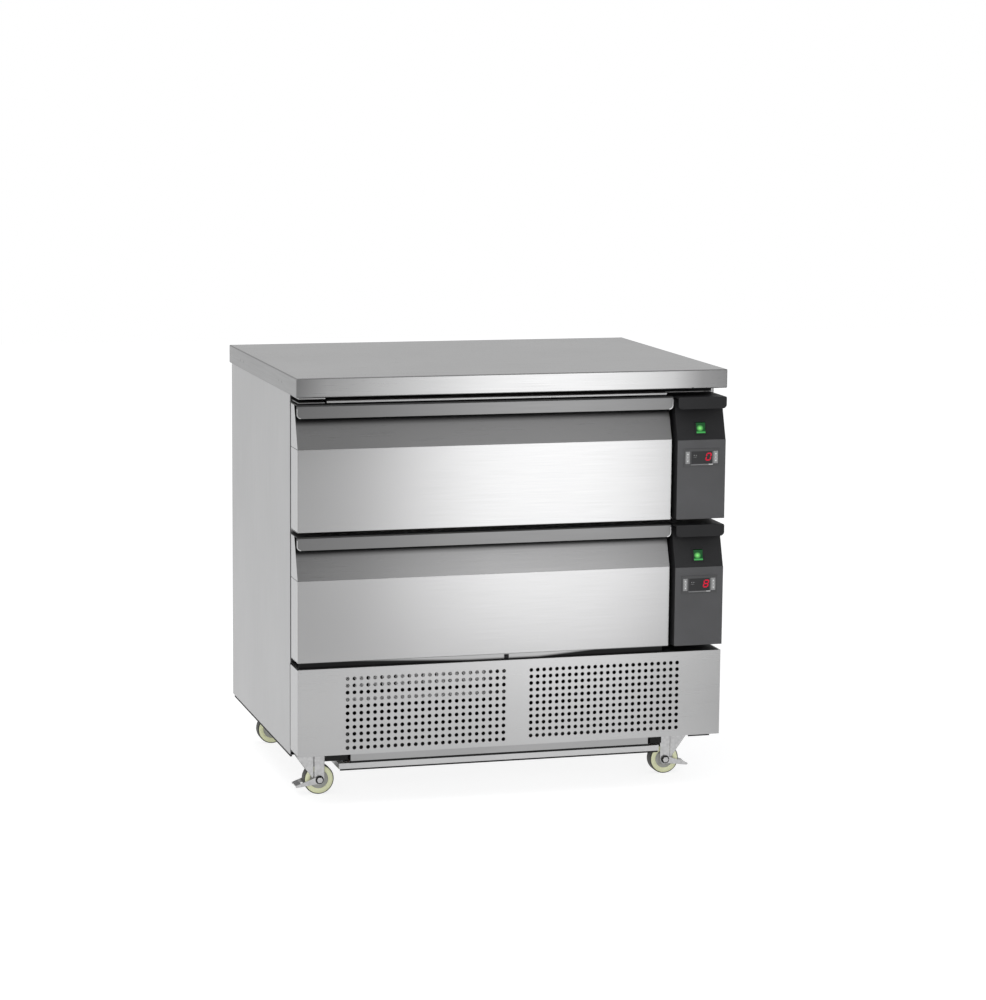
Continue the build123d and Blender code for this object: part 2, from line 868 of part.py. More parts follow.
# Chassis: two side rails that the castors bolt to, tied by cross members
web_outer = cabinet_half - web_inset
strip_front = face_y + pan_front
pan_y = (strip_front, rear_y - pan_rear_gap)
strip_low = cabinet_bottom - strip_drop
strip_high = grille_bottom + strip_rise
strip_y = (strip_front, strip_front + strip_sheet)
rear_tie = (pan_y[1] - rail_sheet, pan_y[1])
with BuildPart() as chassis:
    for sign in (-1, 1):
        flange = sorted((sign * flange_outer, sign * flange_inner))
        web = sorted((sign * web_outer, sign * (web_outer - rail_sheet)))
        block(flange, (strip_front, rear_y - skin), (cabinet_bottom, cabinet_bottom + rail_sheet))
        block(web, pan_y, (cabinet_bottom + rail_sheet, foam_bottom))
    tie = (-web_outer + rail_sheet, web_outer - rail_sheet)
    strip = (tie[0] + strip_end, tie[1] - strip_end)
    block(tie, strip_y, (cabinet_bottom + rail_sheet, strip_high))
    block(strip, strip_y, (strip_low, cabinet_bottom + rail_sheet))
    block(tie, rear_tie, (cabinet_bottom + rail_sheet, strip_high))
save(chassis, "chassis")

# Base pan under the machines, with its rim and the tabs that hang it from the rails
tab_places = [pan_y[0] + tab_inset, pan_y[1] - tab_inset]
with BuildPart() as base_pan:
    block((-pan_half, pan_half), pan_y, (pan_low, pan_low + pan_height))
    block(
        (-pan_half + pan_sheet, pan_half - pan_sheet),
        (pan_y[0] + pan_sheet, pan_y[1] - pan_sheet),
        (pan_low + pan_sheet, pan_low + pan_height),
        Mode.SUBTRACT,
    )
    for sign in (-1, 1):
        tab = sorted((sign * pan_half, sign * (pan_half - pan_sheet)))
        for y in tab_places:
            block(tab, (y - tab_length / 2, y + tab_length / 2), (pan_low, cabinet_bottom))
save(base_pan, "base_pan")

# Grille: a folded cover with two perforated fields over the machine compartment
hole_z = grille_top - block_drop
column_pitch = block_width / (hole_columns - 1)
row_pitch = block_height / (hole_rows - 1)
with BuildPart() as grille_panel:
    block((-cabinet_half, cabinet_half), (face_y, frame_y), (grille_bottom, grille_top))
    block(
        (-inner_half, inner_half),
        (face_y + skin, frame_y),
        (grille_bottom + skin, grille_top - skin),
        Mode.SUBTRACT,
    )
    with BuildSketch(front_plane(face_y)):
        for shift in (left_block_shift, right_block_shift):
            with Locations((shift, hole_z)):
                with GridLocations(column_pitch, row_pitch, hole_columns, hole_rows):
                    Rectangle(hole_size, hole_size)
    extrude(amount=-skin, mode=Mode.SUBTRACT)
save(grille_panel, "grille_panel")

# Condensers: blocks of upright fins that stand in the pan behind the grille
with BuildPart() as condensers:
    for x in unit_centres:
        block(
            (x - condenser_width / 2, x + condenser_width / 2),
            (condenser_front, condenser_back),
            (pan_floor, condenser_top),
        )
        with BuildSketch(front_plane(condenser_front)):
            with Locations((x, (pan_floor + condenser_top) / 2)):
                with GridLocations(condenser_width / condenser_slot_count, 1, condenser_slot_count, 1):
                    Rectangle(condenser_slot, condenser_top - pan_floor - 2 * condenser_slot_margin)
        extrude(amount=-condenser_depth, mode=Mode.SUBTRACT)
save(condensers, "condensers")

# Compressors: domed steel shells on a foot plate
compressor_y = face_y + compressor_setback


def compressor(x):
    foot_low = pan_floor + foot_lift
    shell_low = foot_low + foot_sheet
    shell_height = compressor_height - foot_lift - foot_sheet
    with BuildPart() as shell:
        with BuildSketch(Plane.XY.offset(shell_low)):
            with Locations((x, compressor_y)):
                RegularPolygon(compressor_radius, compressor_sides)
        extrude(amount=shell_height)
        chamfer(shell.faces().sort_by(Axis.Z)[-1].edges(), length=dome_height)
        with BuildSketch(Plane.XY.offset(foot_low)):
            with Locations((x, compressor_y)):
                Rectangle(foot_width, foot_length)
        extrude(amount=foot_sheet)
        with BuildSketch(Plane.XY.offset(pan_floor)):
            with Locations((x, compressor_y)):
                with GridLocations(foot_width - stud_inset, foot_length - stud_inset, 2, 2):
                    Rectangle(stud_width, stud_width)
        extrude(amount=foot_lift)
    return shell.part


with BuildPart() as compressors:
    for x in unit_centres:
        add(compressor(x))
save(compressors, "compressors")

# Refrigerant lines: discharge over each fan, and a liquid and a suction riser to the cold side
riser_liquid_y = port_y - riser_spacing / 2
riser_suction_y = port_y + riser_spacing / 2


def pipe(points, radius):
    with BuildPart() as tube:
        with BuildLine():
            route = Polyline(*points)
        start = Vector(*points[0])
        with BuildSketch(Plane(start, z_dir=Vector(*points[1]) - start)):
            RegularPolygon(radius, pipe_sides)
        sweep(path=route, transition=Transition.RIGHT)
    return tube.part


with BuildPart() as refrigerant_lines:
    for unit, x in enumerate(unit_centres):
        riser_x = port_x + (unit - 0.5) * riser_pitch
        low = cavities[unit][0]
        liquid_z = pan_floor + liquid_level + liquid_step * unit
        suction_z = pan_floor + suction_level + suction_step * unit
        discharge_z = condenser_top - discharge_drop
        shell_top = pan_floor + compressor_height + touch_gap
        add(pipe(
            [
                (x, compressor_y, shell_top),
                (x, compressor_y, discharge_z),
                (x, condenser_back + touch_gap, discharge_z),
            ],
            liquid_pipe,
        ))
        add(pipe(
            [
                (x - condenser_width / 3, condenser_back + touch_gap, liquid_z),
                (x - condenser_width / 3, riser_liquid_y, liquid_z),
                (riser_x, riser_liquid_y, liquid_z),
                (riser_x, riser_liquid_y, low + liquid_inlet_lift),
                (riser_x, evaporator_end + touch_gap, low + liquid_inlet_lift),
            ],
            liquid_pipe,
        ))
        add(pipe(
            [
                (riser_x, evaporator_end + touch_gap, low + suction_outlet_lift),
                (riser_x, riser_suction_y, low + suction_outlet_lift),
                (riser_x, riser_suction_y, suction_z),
                (x, riser_suction_y, suction_z),
                (x, compressor_y + compressor_radius + touch_gap, suction_z),
            ],
            suction_pipe,
        ))
save(refrigerant_lines, "refrigerant_lines")

# Electrical box on the right rail, and the power inlet in the back panel
with BuildPart() as electrical_box:
    with BuildSketch(Plane.XY.offset(cabinet_bottom + rail_sheet)):
        with Locations((web_outer + electrical_box_shift, face_y + electrical_box_setback)):
            Rectangle(electrical_box_width, electrical_box_length)
    extrude(amount=electrical_box_height)
    chamfer(electrical_box.faces().sort_by(Axis.Z)[-1].edges(), length=electrical_box_edge)
save(electrical_box, "electrical_box")

flange_y = rear_y + inlet_flange_sheet
with BuildPart() as power_inlet:
    with BuildSketch(front_plane(flange_y)):
        with Locations((inlet_x, inlet_z)):
            Rectangle(inlet_flange_width, inlet_flange_height)
    extrude(amount=inlet_flange_sheet)
    with BuildSketch(front_plane(rear_y)):
        with Locations((inlet_x, inlet_z)):
            Rectangle(inlet_width - 2 * touch_gap, inlet_height - 2 * touch_gap)
    extrude(amount=inlet_depth)
    with BuildSketch(front_plane(flange_y)):
        with Locations((inlet_x, inlet_z)):
            Rectangle(inlet_width - 2 * inlet_wall, inlet_height - 2 * inlet_wall)
    extrude(amount=inlet_well_depth, mode=Mode.SUBTRACT)
    with BuildSketch(front_plane(flange_y - inlet_well_depth)):
        with Locations((inlet_x, inlet_z)):
            with Locations(
                (-inlet_pin_pitch, -inlet_pin_offset),
                (0, inlet_pin_offset),
                (inlet_pin_pitch, -inlet_pin_offset),
            ):
                Rectangle(inlet_pin_width, inlet_pin_height)
    extrude(amount=-inlet_pin_length)
save(power_inlet, "power_inlet")

# Castors: a plate with its race, a swivelling fork, a wheel, and brakes on the front two
castor_x = cabinet_half - castor_side_inset
castor_front_y = frame_y + castor_front_inset
castor_rear_y = rear_y - castor_rear_inset
castor_places = {
    "front_left": (-castor_x, castor_front_y, 1),
    "front_right": (castor_x, castor_front_y, -1),
    "rear_left": (-castor_x, castor_rear_y, 1),
    "rear_right": (castor_x, castor_rear_y, -1),
}
plate_under = castor_height - castor_plate_sheet
race_under = plate_under - race_height
fork_top = race_under - touch_gap
cheek_inner = wheel_width / 2 + cheek_gap
cheek_outer = cheek_inner + cheek_sheet
pedal_outer = cheek_outer + pedal_gap + pedal_sheet

with BuildPart() as castor_plates:
    for x, y, _ in castor_places.values():
        with BuildSketch(Plane.XY.offset(plate_under)):
            with Locations((x, y)):
                Rectangle(castor_plate, castor_plate)
        extrude(amount=castor_plate_sheet)
        with BuildSketch(Plane.XY.offset(race_under)):
            with Locations((x, y)):
                RegularPolygon(race_radius, race_sides)
        extrude(amount=race_height)
        with BuildSketch(Plane.XY.offset(race_under)):
            with Locations((x, y)):
                Circle(kingpin_radius + running_fit)
        extrude(amount=race_height, mode=Mode.SUBTRACT)
save(castor_plates, "castor_plates")


def castor_fork(x, y, toward):
    """Fork with two cheeks; the wheel trails toward the cabinet's middle."""
    wheel_x = x + toward * castor_trail
    root_x = x + toward * fork_shift
    root_length = 2 * (cheek_radius + castor_trail - fork_shift)
    with BuildPart() as fork:
        for side in (-1, 1):
            outer = y + side * cheek_outer
            with BuildSketch(front_plane(outer)) as cheek:
                with Locations((wheel_x, wheel_radius)):
                    RegularPolygon(cheek_radius, cheek_sides)
                with Locations((root_x, fork_top - fork_root / 2)):
                    Rectangle(root_length, fork_root)
                make_hull()
            extrude(amount=side * cheek_sheet)
        with BuildSketch(Plane.XY.offset(fork_top - fork_cap)):
            with Locations((root_x, y)):
                Rectangle(root_length, 2 * cheek_inner)
        extrude(amount=fork_cap)
        with BuildSketch(Plane.XY.offset(fork_top)):
            with Locations((x, y)):
                Circle(kingpin_radius)
        extrude(amount=race_height - kingpin_end_gap)
        with BuildSketch(front_plane(y + pedal_outer)):
            with Locations((wheel_x, wheel_radius)):
                Circle(axle_radius)
        extrude(amount=2 * pedal_outer)
        for side in (-1, 1):
            with BuildSketch(front_plane(y + side * pedal_outer)):
                with Locations((wheel_x, wheel_radius)):
                    RegularPolygon(axle_nut, 6)
            extrude(amount=-side * nut_height)
    return fork


def castor_wheel(x, y, toward):
    wheel_x = x + toward * castor_trail
    half = wheel_width / 2
    bore = axle_radius + running_fit
    with BuildPart() as wheel:
        with BuildSketch(Plane(origin=(wheel_x, y, wheel_radius), x_dir=(0, 1, 0), z_dir=(1, 0, 0))):
            with BuildLine():
                Polyline(
                    (-half, bore),
                    (-half, wheel_radius - tread_chamfer),
                    (-half + tread_chamfer, wheel_radius),
                    (half - tread_chamfer, wheel_radius),
                    (half, wheel_radius - tread_chamfer),
                    (half, bore),
                    close=True,
                )
            make_face()
        revolve(axis=Axis((wheel_x, y, wheel_radius), (0, 1, 0)))
    return wheel


pedal_slope = radians(pedal_fall)


def brake_pedal(x, y, toward):
    """Two arms on the axle that carry a tread plate on the outer side of the wheel."""
    wheel_x = x + toward * castor_trail
    tip_x = wheel_x - toward * pedal_reach * cos(pedal_slope)
    tip_z = wheel_radius - pedal_reach * sin(pedal_slope)
    with BuildPart() as pedal:
        for side in (-1, 1):
            with BuildSketch(front_plane(y + side * pedal_outer)):
                with Locations((wheel_x, wheel_radius)):
                    RegularPolygon(pedal_root, cheek_sides)
                with Locations((tip_x, tip_z)):
                    RegularPolygon(pedal_tip, 6)
                make_hull()
            extrude(amount=side * pedal_sheet)
        with BuildSketch(front_plane(y + pedal_outer - pedal_sheet)):
            with Locations((tip_x + toward * tread_shift, tip_z + tread_shift * tan(pedal_slope))):
                Rectangle(tread_width, tread_sheet, rotation=toward * pedal_fall)
        extrude(amount=2 * (pedal_outer - pedal_sheet))
        with BuildSketch(front_plane(y + pedal_outer)):
            with Locations((wheel_x, wheel_radius)):
                Circle(axle_radius + running_fit)
        extrude(amount=2 * pedal_outer, mode=Mode.SUBTRACT)
    return pedal


for place, (x, y, toward) in castor_places.items():
    save(castor_fork(x, y, toward), f"{place}_castor_fork")
    save(castor_wheel(x, y, toward), f"{place}_castor_wheel")
    if place.startswith("front"):
        save(brake_pedal(x, y, toward), f"{place}_brake_pedal")
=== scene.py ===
# %% [markdown]
# # A refrigerated drawer counter
#
# The counter is a folded steel cabinet on castors. Two insulated drawers lie one above the other
# under the worktop, a moulded control housing stands at the right of each drawer, and a
# perforated grille covers the machines below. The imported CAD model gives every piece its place
# and its joints. This file dresses it: each visible piece is made again with its real bends,
# holes and finishes, in the same coordinates, and rides on the CAD body that carries it.

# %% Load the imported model
import math
import bmesh
import bpy
from mathutils import Matrix, Vector


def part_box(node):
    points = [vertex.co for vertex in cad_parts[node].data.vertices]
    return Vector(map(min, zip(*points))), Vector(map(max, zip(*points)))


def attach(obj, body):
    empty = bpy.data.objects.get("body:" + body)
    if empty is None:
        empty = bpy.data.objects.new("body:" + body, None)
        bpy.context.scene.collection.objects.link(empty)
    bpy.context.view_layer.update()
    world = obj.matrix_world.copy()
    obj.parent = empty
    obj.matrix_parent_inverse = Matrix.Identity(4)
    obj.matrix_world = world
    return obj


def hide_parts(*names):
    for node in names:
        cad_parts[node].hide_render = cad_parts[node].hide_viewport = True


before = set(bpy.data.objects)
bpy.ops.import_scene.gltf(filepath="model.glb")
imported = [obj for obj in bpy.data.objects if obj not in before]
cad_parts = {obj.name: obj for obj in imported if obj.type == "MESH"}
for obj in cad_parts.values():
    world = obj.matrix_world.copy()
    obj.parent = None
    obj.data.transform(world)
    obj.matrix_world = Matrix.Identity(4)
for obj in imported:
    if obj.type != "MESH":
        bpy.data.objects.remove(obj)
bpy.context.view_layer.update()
mm = 0.001
bays = ("lower", "upper")

# %% [markdown]
# ## The camera
#
# The counter is seen from its left and a little from above, from about six metres away. A long
# lens keeps its edges nearly parallel. The rotation is built from three turns: round by the yaw,
# down by the pitch, and a slight roll about the line of sight.

# %% Camera
sensor_height, focal_length = 24.0, 72.02
camera_place = (-1.6801, -5.9885, 1.5088)
yaw, pitch, tilt = -16.1, 8.652, 0.5296


def link(name, data):
    """Put a new object with some data into the scene."""
    made = bpy.data.objects.new(name, data)
    bpy.context.collection.objects.link(made)
    return made


lens = bpy.data.cameras.new("shop_camera")
lens.sensor_fit = "VERTICAL"
lens.sensor_height = sensor_height
lens.lens = focal_length
camera = link("shop_camera", lens)
view = Matrix.Translation(camera_place)
for degrees, axis in ((yaw, "Z"), (90 - pitch, "X"), (tilt, "Z")):
    view = view @ Matrix.Rotation(math.radians(degrees), 4, axis)
camera.matrix_world = view
bpy.context.scene.camera = camera

# %% [markdown]
# ## Shader nodes
#
# Every look is a small tree of shader nodes. These tools add a node with its inputs, give
# coordinates, join two values, map a value to a new span, or run from colour to colour.


# %% Tools for shader nodes
def node(nt, kind, inputs=None, **settings):
    """A new shader node, with its inputs set to values or linked from sockets."""
    made = nt.nodes.new("ShaderNode" + kind)
    for key, value in settings.items():
        setattr(made, key, value)
    for key, value in (inputs or {}).items():
        if isinstance(value, bpy.types.NodeSocket):
            nt.links.new(value, made.inputs[key])
        else:
            made.inputs[key].default_value = value
    return made


def output(nt, kind, inputs=None, **settings):
    """The first output of a new shader node."""
    return node(nt, kind, inputs, **settings).outputs[0]


def axes_of(nt, space):
    """The X, Y and Z of a kind of coordinates."""
    return node(nt, "SeparateXYZ", {0: node(nt, "TexCoord").outputs[space]}).outputs


def joined(nt, operation, one, two):
    """Two values joined by an operation."""
    return output(nt, "Math", {0: one, 1: two}, operation=operation)


def spread(nt, value, low, high, start=0.3, end=0.7, curve="LINEAR"):
    """A value mapped from start..end to low..high."""
    span = {"Value": value, "From Min": start, "From Max": end, "To Min": low, "To Max": high}
    return output(nt, "MapRange", span, interpolation_type=curve)


def mixed(nt, amount, one, two):
    """A colour that runs from one to two with an amount."""
    one, two = (c if isinstance(c, bpy.types.NodeSocket) else (*c, 1) for c in (one, two))
    return node(nt, "Mix", {"Factor": amount, "A": one, "B": two}, data_type="RGBA").outputs["Result"]


def two_faced(nt, unseen, seen):
    """One shader for the light that is shed, another for what the camera and the metal see."""
    rays = node(nt, "LightPath").outputs
    total = rays["Is Camera Ray"]
    for name in ("Is Glossy Ray", "Is Transmission Ray"):
        total = joined(nt, "MAXIMUM", total, rays[name])
    return output(nt, "MixShader", {"Fac": total, 1: unseen, 2: seen})


def bare_material(name):
    """A new material and its empty tree."""
    made = bpy.data.materials.new(name)
    made.use_nodes = True
    made.node_tree.nodes.clear()
    return made, made.node_tree


print("shader tools ready")

# %% [markdown]
# ## The studio
#
# Polished sheet steel has hardly any colour of its own: it shows the room. The room here is
# plain white, with one soft lamp above the counter and one before it at the left. The world is
# white for what the camera and the metal see, and a softer grey for the light that it sheds.

# %% World
scene = bpy.context.scene
scene.view_settings.view_transform = "Standard"
world = bpy.data.worlds.new("white_room")
scene.world = world
world.use_nodes = True
nt = world.node_tree
nt.nodes.clear()
white = output(nt, "Background", {"Color": (1, 1, 1, 1), "Strength": 1.0})
soft_grey = output(nt, "Background", {"Color": (0.97, 0.98, 1, 1), "Strength": 0.62})
node(nt, "OutputWorld", {"Surface": two_faced(nt, soft_grey, white)})
print("world ready")

# %% Lamps
aim_point = Vector((0, 0, 0.4))


def soft_light(name, spot, side, watts):
    """A square soft light, turned to the counter, that the camera doesn't see."""
    data = bpy.data.lights.new(name, "AREA")
    data.shape = "SQUARE"
    data.size = side
    data.energy = watts
    lamp = link(name, data)
    aim = (aim_point - Vector(spot)).to_track_quat("-Z", "Y")
    lamp.matrix_world = Matrix.Translation(spot) @ aim.to_matrix().to_4x4()
    lamp.visible_camera = False
    print("lamp", name, watts, "W")


soft_light("overhead", (-1.2, -1.2, 3.4), 2.6, 46)
soft_light("front_fill", (-2.4, -3.4, 1.6), 1.6, 14)

# %% [markdown]
# Outlines are drawn flat in a plane, then lifted to a height along the axis across it.


# %% Outlines
def rectangle(u0, v0, u1, v1):
    """The four corners of a rectangle in a plane."""
    return [(u0, v0), (u1, v0), (u1, v1), (u0, v1)]


def lifted(points, height, axis="X"):
    """Points of a plane, at a height along the axis across it."""
    at = "XYZ".index(axis)
    return [(*point[:at], height, *point[at:]) for point in points]


print("outline tools ready")

# %% [markdown]
# The bright band on the fronts is the mirror image of a tall paper screen that stands in front of
# the counter. Only the metal sees it. A lamp behind its middle makes it glow there, and the
# paper gets greyer toward its top, which is why the sloping sheets and the worktop's rim look
# darker than the upright ones. A grey wall behind the counter does the same for the worktop's
# top, which mirrors what lies beyond it, and a paper on the floor is what the grille mirrors.


# %% Papers
def glowing_paper(name, glow):
    """Paper that is white at its sides, glows in the middle and fades to grey at the top."""
    made, nt = bare_material(name)
    at = axes_of(nt, "Object")

    def fade(axis, start, end, low, high):
        return spread(nt, at[axis], low, high, start, end, "SMOOTHSTEP")

    def product(one, two):
        return joined(nt, "MULTIPLY", one, two)

    across = product(fade("X", -0.16, 0.36, 0, 1), fade("X", 0.56, 0.95, 1, 0))
    upward = product(fade("Z", -0.3, 0.5, 0.25, 1), fade("Z", 0.8, 1.5, 1, 0.09))
    lit = product(product(across, upward), fade("Z", 0.55, 0.69, glow, glow * 1.55))
    grey_top = product(fade("Z", 0.56, 0.68, 1, 0.2), fade("Z", 0.8, 1.3, 1, 2.0))
    paper = product(grey_top, fade("X", 0.68, 1.0, 1, 0.8))
    emit = output(nt, "Emission", {"Strength": joined(nt, "ADD", paper, lit)})
    node(nt, "OutputMaterial", {"Surface": emit})
    return made


def plain_paper(name, left, right):
    """Paper whose brightness runs from one value to another along X."""
    made, nt = bare_material(name)
    strength = spread(nt, axes_of(nt, "Object")["X"], left, right, 0.4, 0.8, "SMOOTHSTEP")
    node(nt, "OutputMaterial", {"Surface": output(nt, "Emission", {"Strength": strength})})
    return made


def stage_sheet(name, corners, material):
    """A flat sheet of the stage through four corners in metres."""
    mesh = bpy.data.meshes.new(name)
    mesh.from_pydata(corners, [], [(0, 1, 2, 3)])
    mesh.materials.append(material)
    sheet = link(name, mesh)
    print(name, [round(v, 2) for v in sheet.dimensions])
    return sheet


left, right, screen_y = -1.1, 1.9, -1.5
for name, corners, material in (
    ("light_screen", lifted(rectangle(left, 2.2, right, 0.01), screen_y, "Y"),
     glowing_paper("screen_paper", 2.1)),
    ("grey_wall", lifted(rectangle(-3.5, 0.85, 4.5, 3.4), 2.6, "Y"), plain_paper("grey_wall", 0.74, 0.74)),
    ("floor_paper", lifted(rectangle(left, screen_y, right, -0.36), 0.004, "Z"),
     plain_paper("floor_paper", 1.16, 0.68)),
):
    sheet = stage_sheet(name, corners, material)
    for ray in ("camera", "diffuse", "transmission", "volume_scatter", "shadow"):
        setattr(sheet, f"visible_{ray}", False)

# %% [markdown]
# ## The floor
#
# The floor is one large pale sheet. What the camera sees of it is mostly its own white, with a
# share of the real light on top, so that the shadows under the castors stay but don't grey the
# whole ground.

# %% Floor
reach = 9
pale_floor, nt = bare_material("pale_floor")
dull, share = (output(nt, "BsdfDiffuse", {"Color": (level, level, level, 1)}) for level in (0.8, 0.4))
own_white = output(nt, "Emission", {"Color": (1, 1, 1, 1), "Strength": 0.8})
lit = output(nt, "AddShader", {0: share, 1: own_white})
node(nt, "OutputMaterial", {"Surface": two_faced(nt, dull, lit)})
stage_sheet("floor", lifted(rectangle(-reach, -reach, reach, reach), 0, "Z"), pale_floor)

# %% [markdown]
# ## Finishes
#
# Sheet steel for kitchens is ground in one direction, so its grain is a stretched noise: fine
# across the grain and long along it. The grain changes the roughness a little and raises a
# faint bump. A second, much larger noise gives the cloudiness that every sheet has. Numbers
# that are the same all over sit on the shader itself.

# %% A material to build on
looks = {}


def finish(name, colour, metal, rough):
    """Start a finish: its tree and its principled shader."""
    made = bpy.data.materials.new(name)
    made.use_nodes = True
    looks[name] = made
    shader = made.node_tree.nodes["Principled BSDF"]
    for key, value in (("Base Color", (*colour, 1)), ("Metallic", metal), ("Roughness", rough)):
        shader.inputs[key].default_value = value
    return made.node_tree, shader


def shader_of(name):
    """The principled shader of a finish."""
    return looks[name].node_tree.nodes["Principled BSDF"]


def noise(nt, scale, stretch=(1, 1, 1), detail=3.0):
    """Noise in the object's own coordinates, stretched along its axes."""
    here = node(nt, "TexCoord").outputs["Object"]
    there = output(nt, "Mapping", {"Vector": here, "Scale": stretch})
    return output(nt, "TexNoise", {"Vector": there, "Scale": scale, "Detail": detail})


def tint(nt, shader, value, dark, light):
    """Base colour that runs between two colours with a value."""
    nt.links.new(mixed(nt, value, dark, light), shader.inputs["Base Color"])


def raise_bump(nt, shader, value, height, strength):
    """Bump of a height in metres from a value."""
    bump = output(nt, "Bump", {"Height": value, "Distance": height, "Strength": strength})
    nt.links.new(bump, shader.inputs["Normal"])


def grey(level):
    """The faintly blue grey of steel."""
    return (level, level, level * 1.005)


# %% Sheet steel
fine_grain, long_grain, cloud_scale = 900.0, 9.0, 3.5


def brushed_steel(name, level, rough, grain_along="X", depth=0.000012, cloud=0.04):
    """Ground sheet steel whose grain runs along one axis."""
    nt, shader = finish(name, grey(level), 1.0, rough)
    grain = noise(nt, 1.0, [long_grain if axis == grain_along else fine_grain for axis in "XYZ"], 4.0)
    clouds = noise(nt, cloud_scale, detail=2.0)
    nt.links.new(spread(nt, grain, rough - 0.03, rough + 0.035), shader.inputs["Roughness"])
    tint(nt, shader, spread(nt, clouds, 0.0, 1.0), grey(level * (1 - cloud)), grey(level * (1 + cloud)))
    raise_bump(nt, shader, grain, depth, 0.15)


# Some rows are darker copies of one sheet's steel, a painted shade: the worktop's skirts and folds, the
# drawer slopes, and fold_shade on the handles' tops and folds.
for row in (
    ("worktop_steel", 0.345, 0.3),
    ("skirt_steel", 0.22, 0.32, "Y"),
    ("rim_steel", 0.35, 0.3),
    ("fold_line", 0.19, 0.36),
    ("side_steel", 0.37, 0.36, "Z"),
    ("back_steel", 0.42, 0.42, "Z"),
    ("front_steel", 0.335, 0.22, "X", 0.000008, 0.02),
    ("slope_steel", 0.25, 0.3),
    ("lip_steel", 0.3, 0.32),
    ("handle_steel", 0.155, 0.36),
    ("fold_shade", 0.05, 0.5),
    ("grille_steel", 0.38, 0.3),
    ("frame_steel", 0.36, 0.35),
    ("liner_steel", 0.5, 0.3, "Y"),
    ("runner_steel", 0.48, 0.28, "Y"),
    ("strip_steel", 0.36, 0.34),
    ("chassis_steel", 0.31, 0.4),
    ("pan_steel", 0.44, 0.4),
    ("fin_aluminium", 0.62, 0.4, "Z"),
):
    brushed_steel(*row)
print("steel finishes", len(looks))

# %% [markdown]
# Less light reaches some sheets' ends: the top of the sloping sheets under the handles, the ends
# of the worktop's rim, and the foot and both ends of the lip above the grille, which is left
# bright in a lens shape only. There the finish runs into a darker grey: painted shade.


# %% Shade on the steel
def shade(name, amount, dark):
    """Paint shade into a finish: run it into a dark grey by an amount."""
    nt, colour = looks[name].node_tree, shader_of(name).inputs["Base Color"]
    nt.links.new(mixed(nt, amount, colour.links[0].from_socket, grey(dark)), colour)


for name, axis, start, end, dark, most in (
    ("slope_steel", "Z", 0.5, 0.64, 0.06, 1.0),
    ("rim_steel", "X", 0.07, 0.0, 0.1, 0.5),
    ("rim_steel", "X", 0.87, 0.94, 0.1, 0.5),
):
    nt = looks[name].node_tree
    shade(name, spread(nt, axes_of(nt, "Generated")[axis], 0.0, most, start, end), dark)

nt = looks["lip_steel"].node_tree
at = axes_of(nt, "Generated")
rise = spread(nt, at["X"], 0.0, 0.86, 0.15, 0.46)
fall = spread(nt, at["X"], 1.0, 0.0, 0.65, 0.81)
level = joined(nt, "ADD", at["Z"], joined(nt, "MULTIPLY", rise, fall))
shade("lip_steel", spread(nt, level, 1.0, 0.0, 0.86, 1.26), 0.012)
print("shaded finishes 3")

# %% [markdown]
# Zinc plating has a soft spangle instead of a grain. Moulded plastic has a fine leathery skin
# from its tool. The castor resin is cream with a green cast, with a faint glow of painted light
# that lifts it out of the shade under the cabinet.


# %% Zinc, plastic, rubber, paint
def spangled_zinc(name, level, rough):
    """Plated steel with the cells of its zinc."""
    nt, shader = finish(name, grey(level), 1.0, rough)
    cells = output(nt, "TexVoronoi", {"Vector": node(nt, "TexCoord").outputs["Object"], "Scale": 160.0})
    nt.links.new(spread(nt, cells, rough - 0.06, rough + 0.1, 0.0, 1.0), shader.inputs["Roughness"])
    tint(nt, shader, cells, grey(level * 1.08), grey(level * 0.88))
    raise_bump(nt, shader, noise(nt, 420.0), 0.00004, 0.4)


def moulded(name, colour, rough, skin_scale=1500.0, skin_depth=0.00006):
    """Moulded plastic or rubber with the fine skin of its tool."""
    nt, shader = finish(name, colour, 0.0, rough)
    skin = noise(nt, skin_scale, detail=2.0)
    broad = noise(nt, 14.0, detail=2.0)
    dark, light = (tuple(c * share for c in colour) for share in (0.9, 1.1))
    tint(nt, shader, spread(nt, broad, 0.0, 1.0), dark, light)
    nt.links.new(spread(nt, skin, rough - 0.05, rough + 0.07), shader.inputs["Roughness"])
    raise_bump(nt, shader, skin, skin_depth, 0.5)


spangled_zinc("castor_zinc", 0.46, 0.36)
for row in (
    ("housing_plastic", (0.011, 0.011, 0.012), 0.5),
    ("face_plate_grey", (0.052, 0.052, 0.055), 0.5),
    ("window_black", (0.024, 0.024, 0.025), 0.16, 300.0, 0.000005),
    ("key_grey", (0.29, 0.29, 0.29), 0.5),
    ("controller_grey", (0.038, 0.038, 0.04), 0.4),
    ("mark_white", (0.72, 0.72, 0.71), 0.5),
    ("gasket_rubber", (0.03, 0.03, 0.032), 0.55),
    ("seam_dark", (0.012, 0.012, 0.012), 0.7),
    ("box_plastic", (0.05, 0.05, 0.052), 0.45),
    ("fan_plastic", (0.02, 0.02, 0.022), 0.4),
    ("foam", (0.72, 0.6, 0.34), 0.85, 260.0, 0.0004),
    ("compressor_paint", (0.012, 0.012, 0.013), 0.3),
    ("fin_black", (0.014, 0.014, 0.015), 0.6),
    ("pipe_copper", (0.62, 0.26, 0.14), 0.3),
    ("wheel_resin", (0.86, 0.88, 0.6), 0.4, 700.0, 0.00003),
    ("wheel_core", (0.5, 0.5, 0.47), 0.4),
    ("wheel_tread", (0.045, 0.045, 0.038), 0.6),
):
    moulded(*row)
for name in ("housing_plastic", "fin_black", "seam_dark", "window_black"):
    shader_of(name).inputs["Specular IOR Level"].default_value = 0.22
shader_of("pipe_copper").inputs["Metallic"].default_value = 1.0
# The resin's faint glow is painted light against the shade under the cabinet.
shader_of("wheel_resin").inputs["Emission Color"].default_value = (0.66, 0.68, 0.36, 1)
shader_of("wheel_resin").inputs["Emission Strength"].default_value = 0.18
print("finishes so far", len(looks))

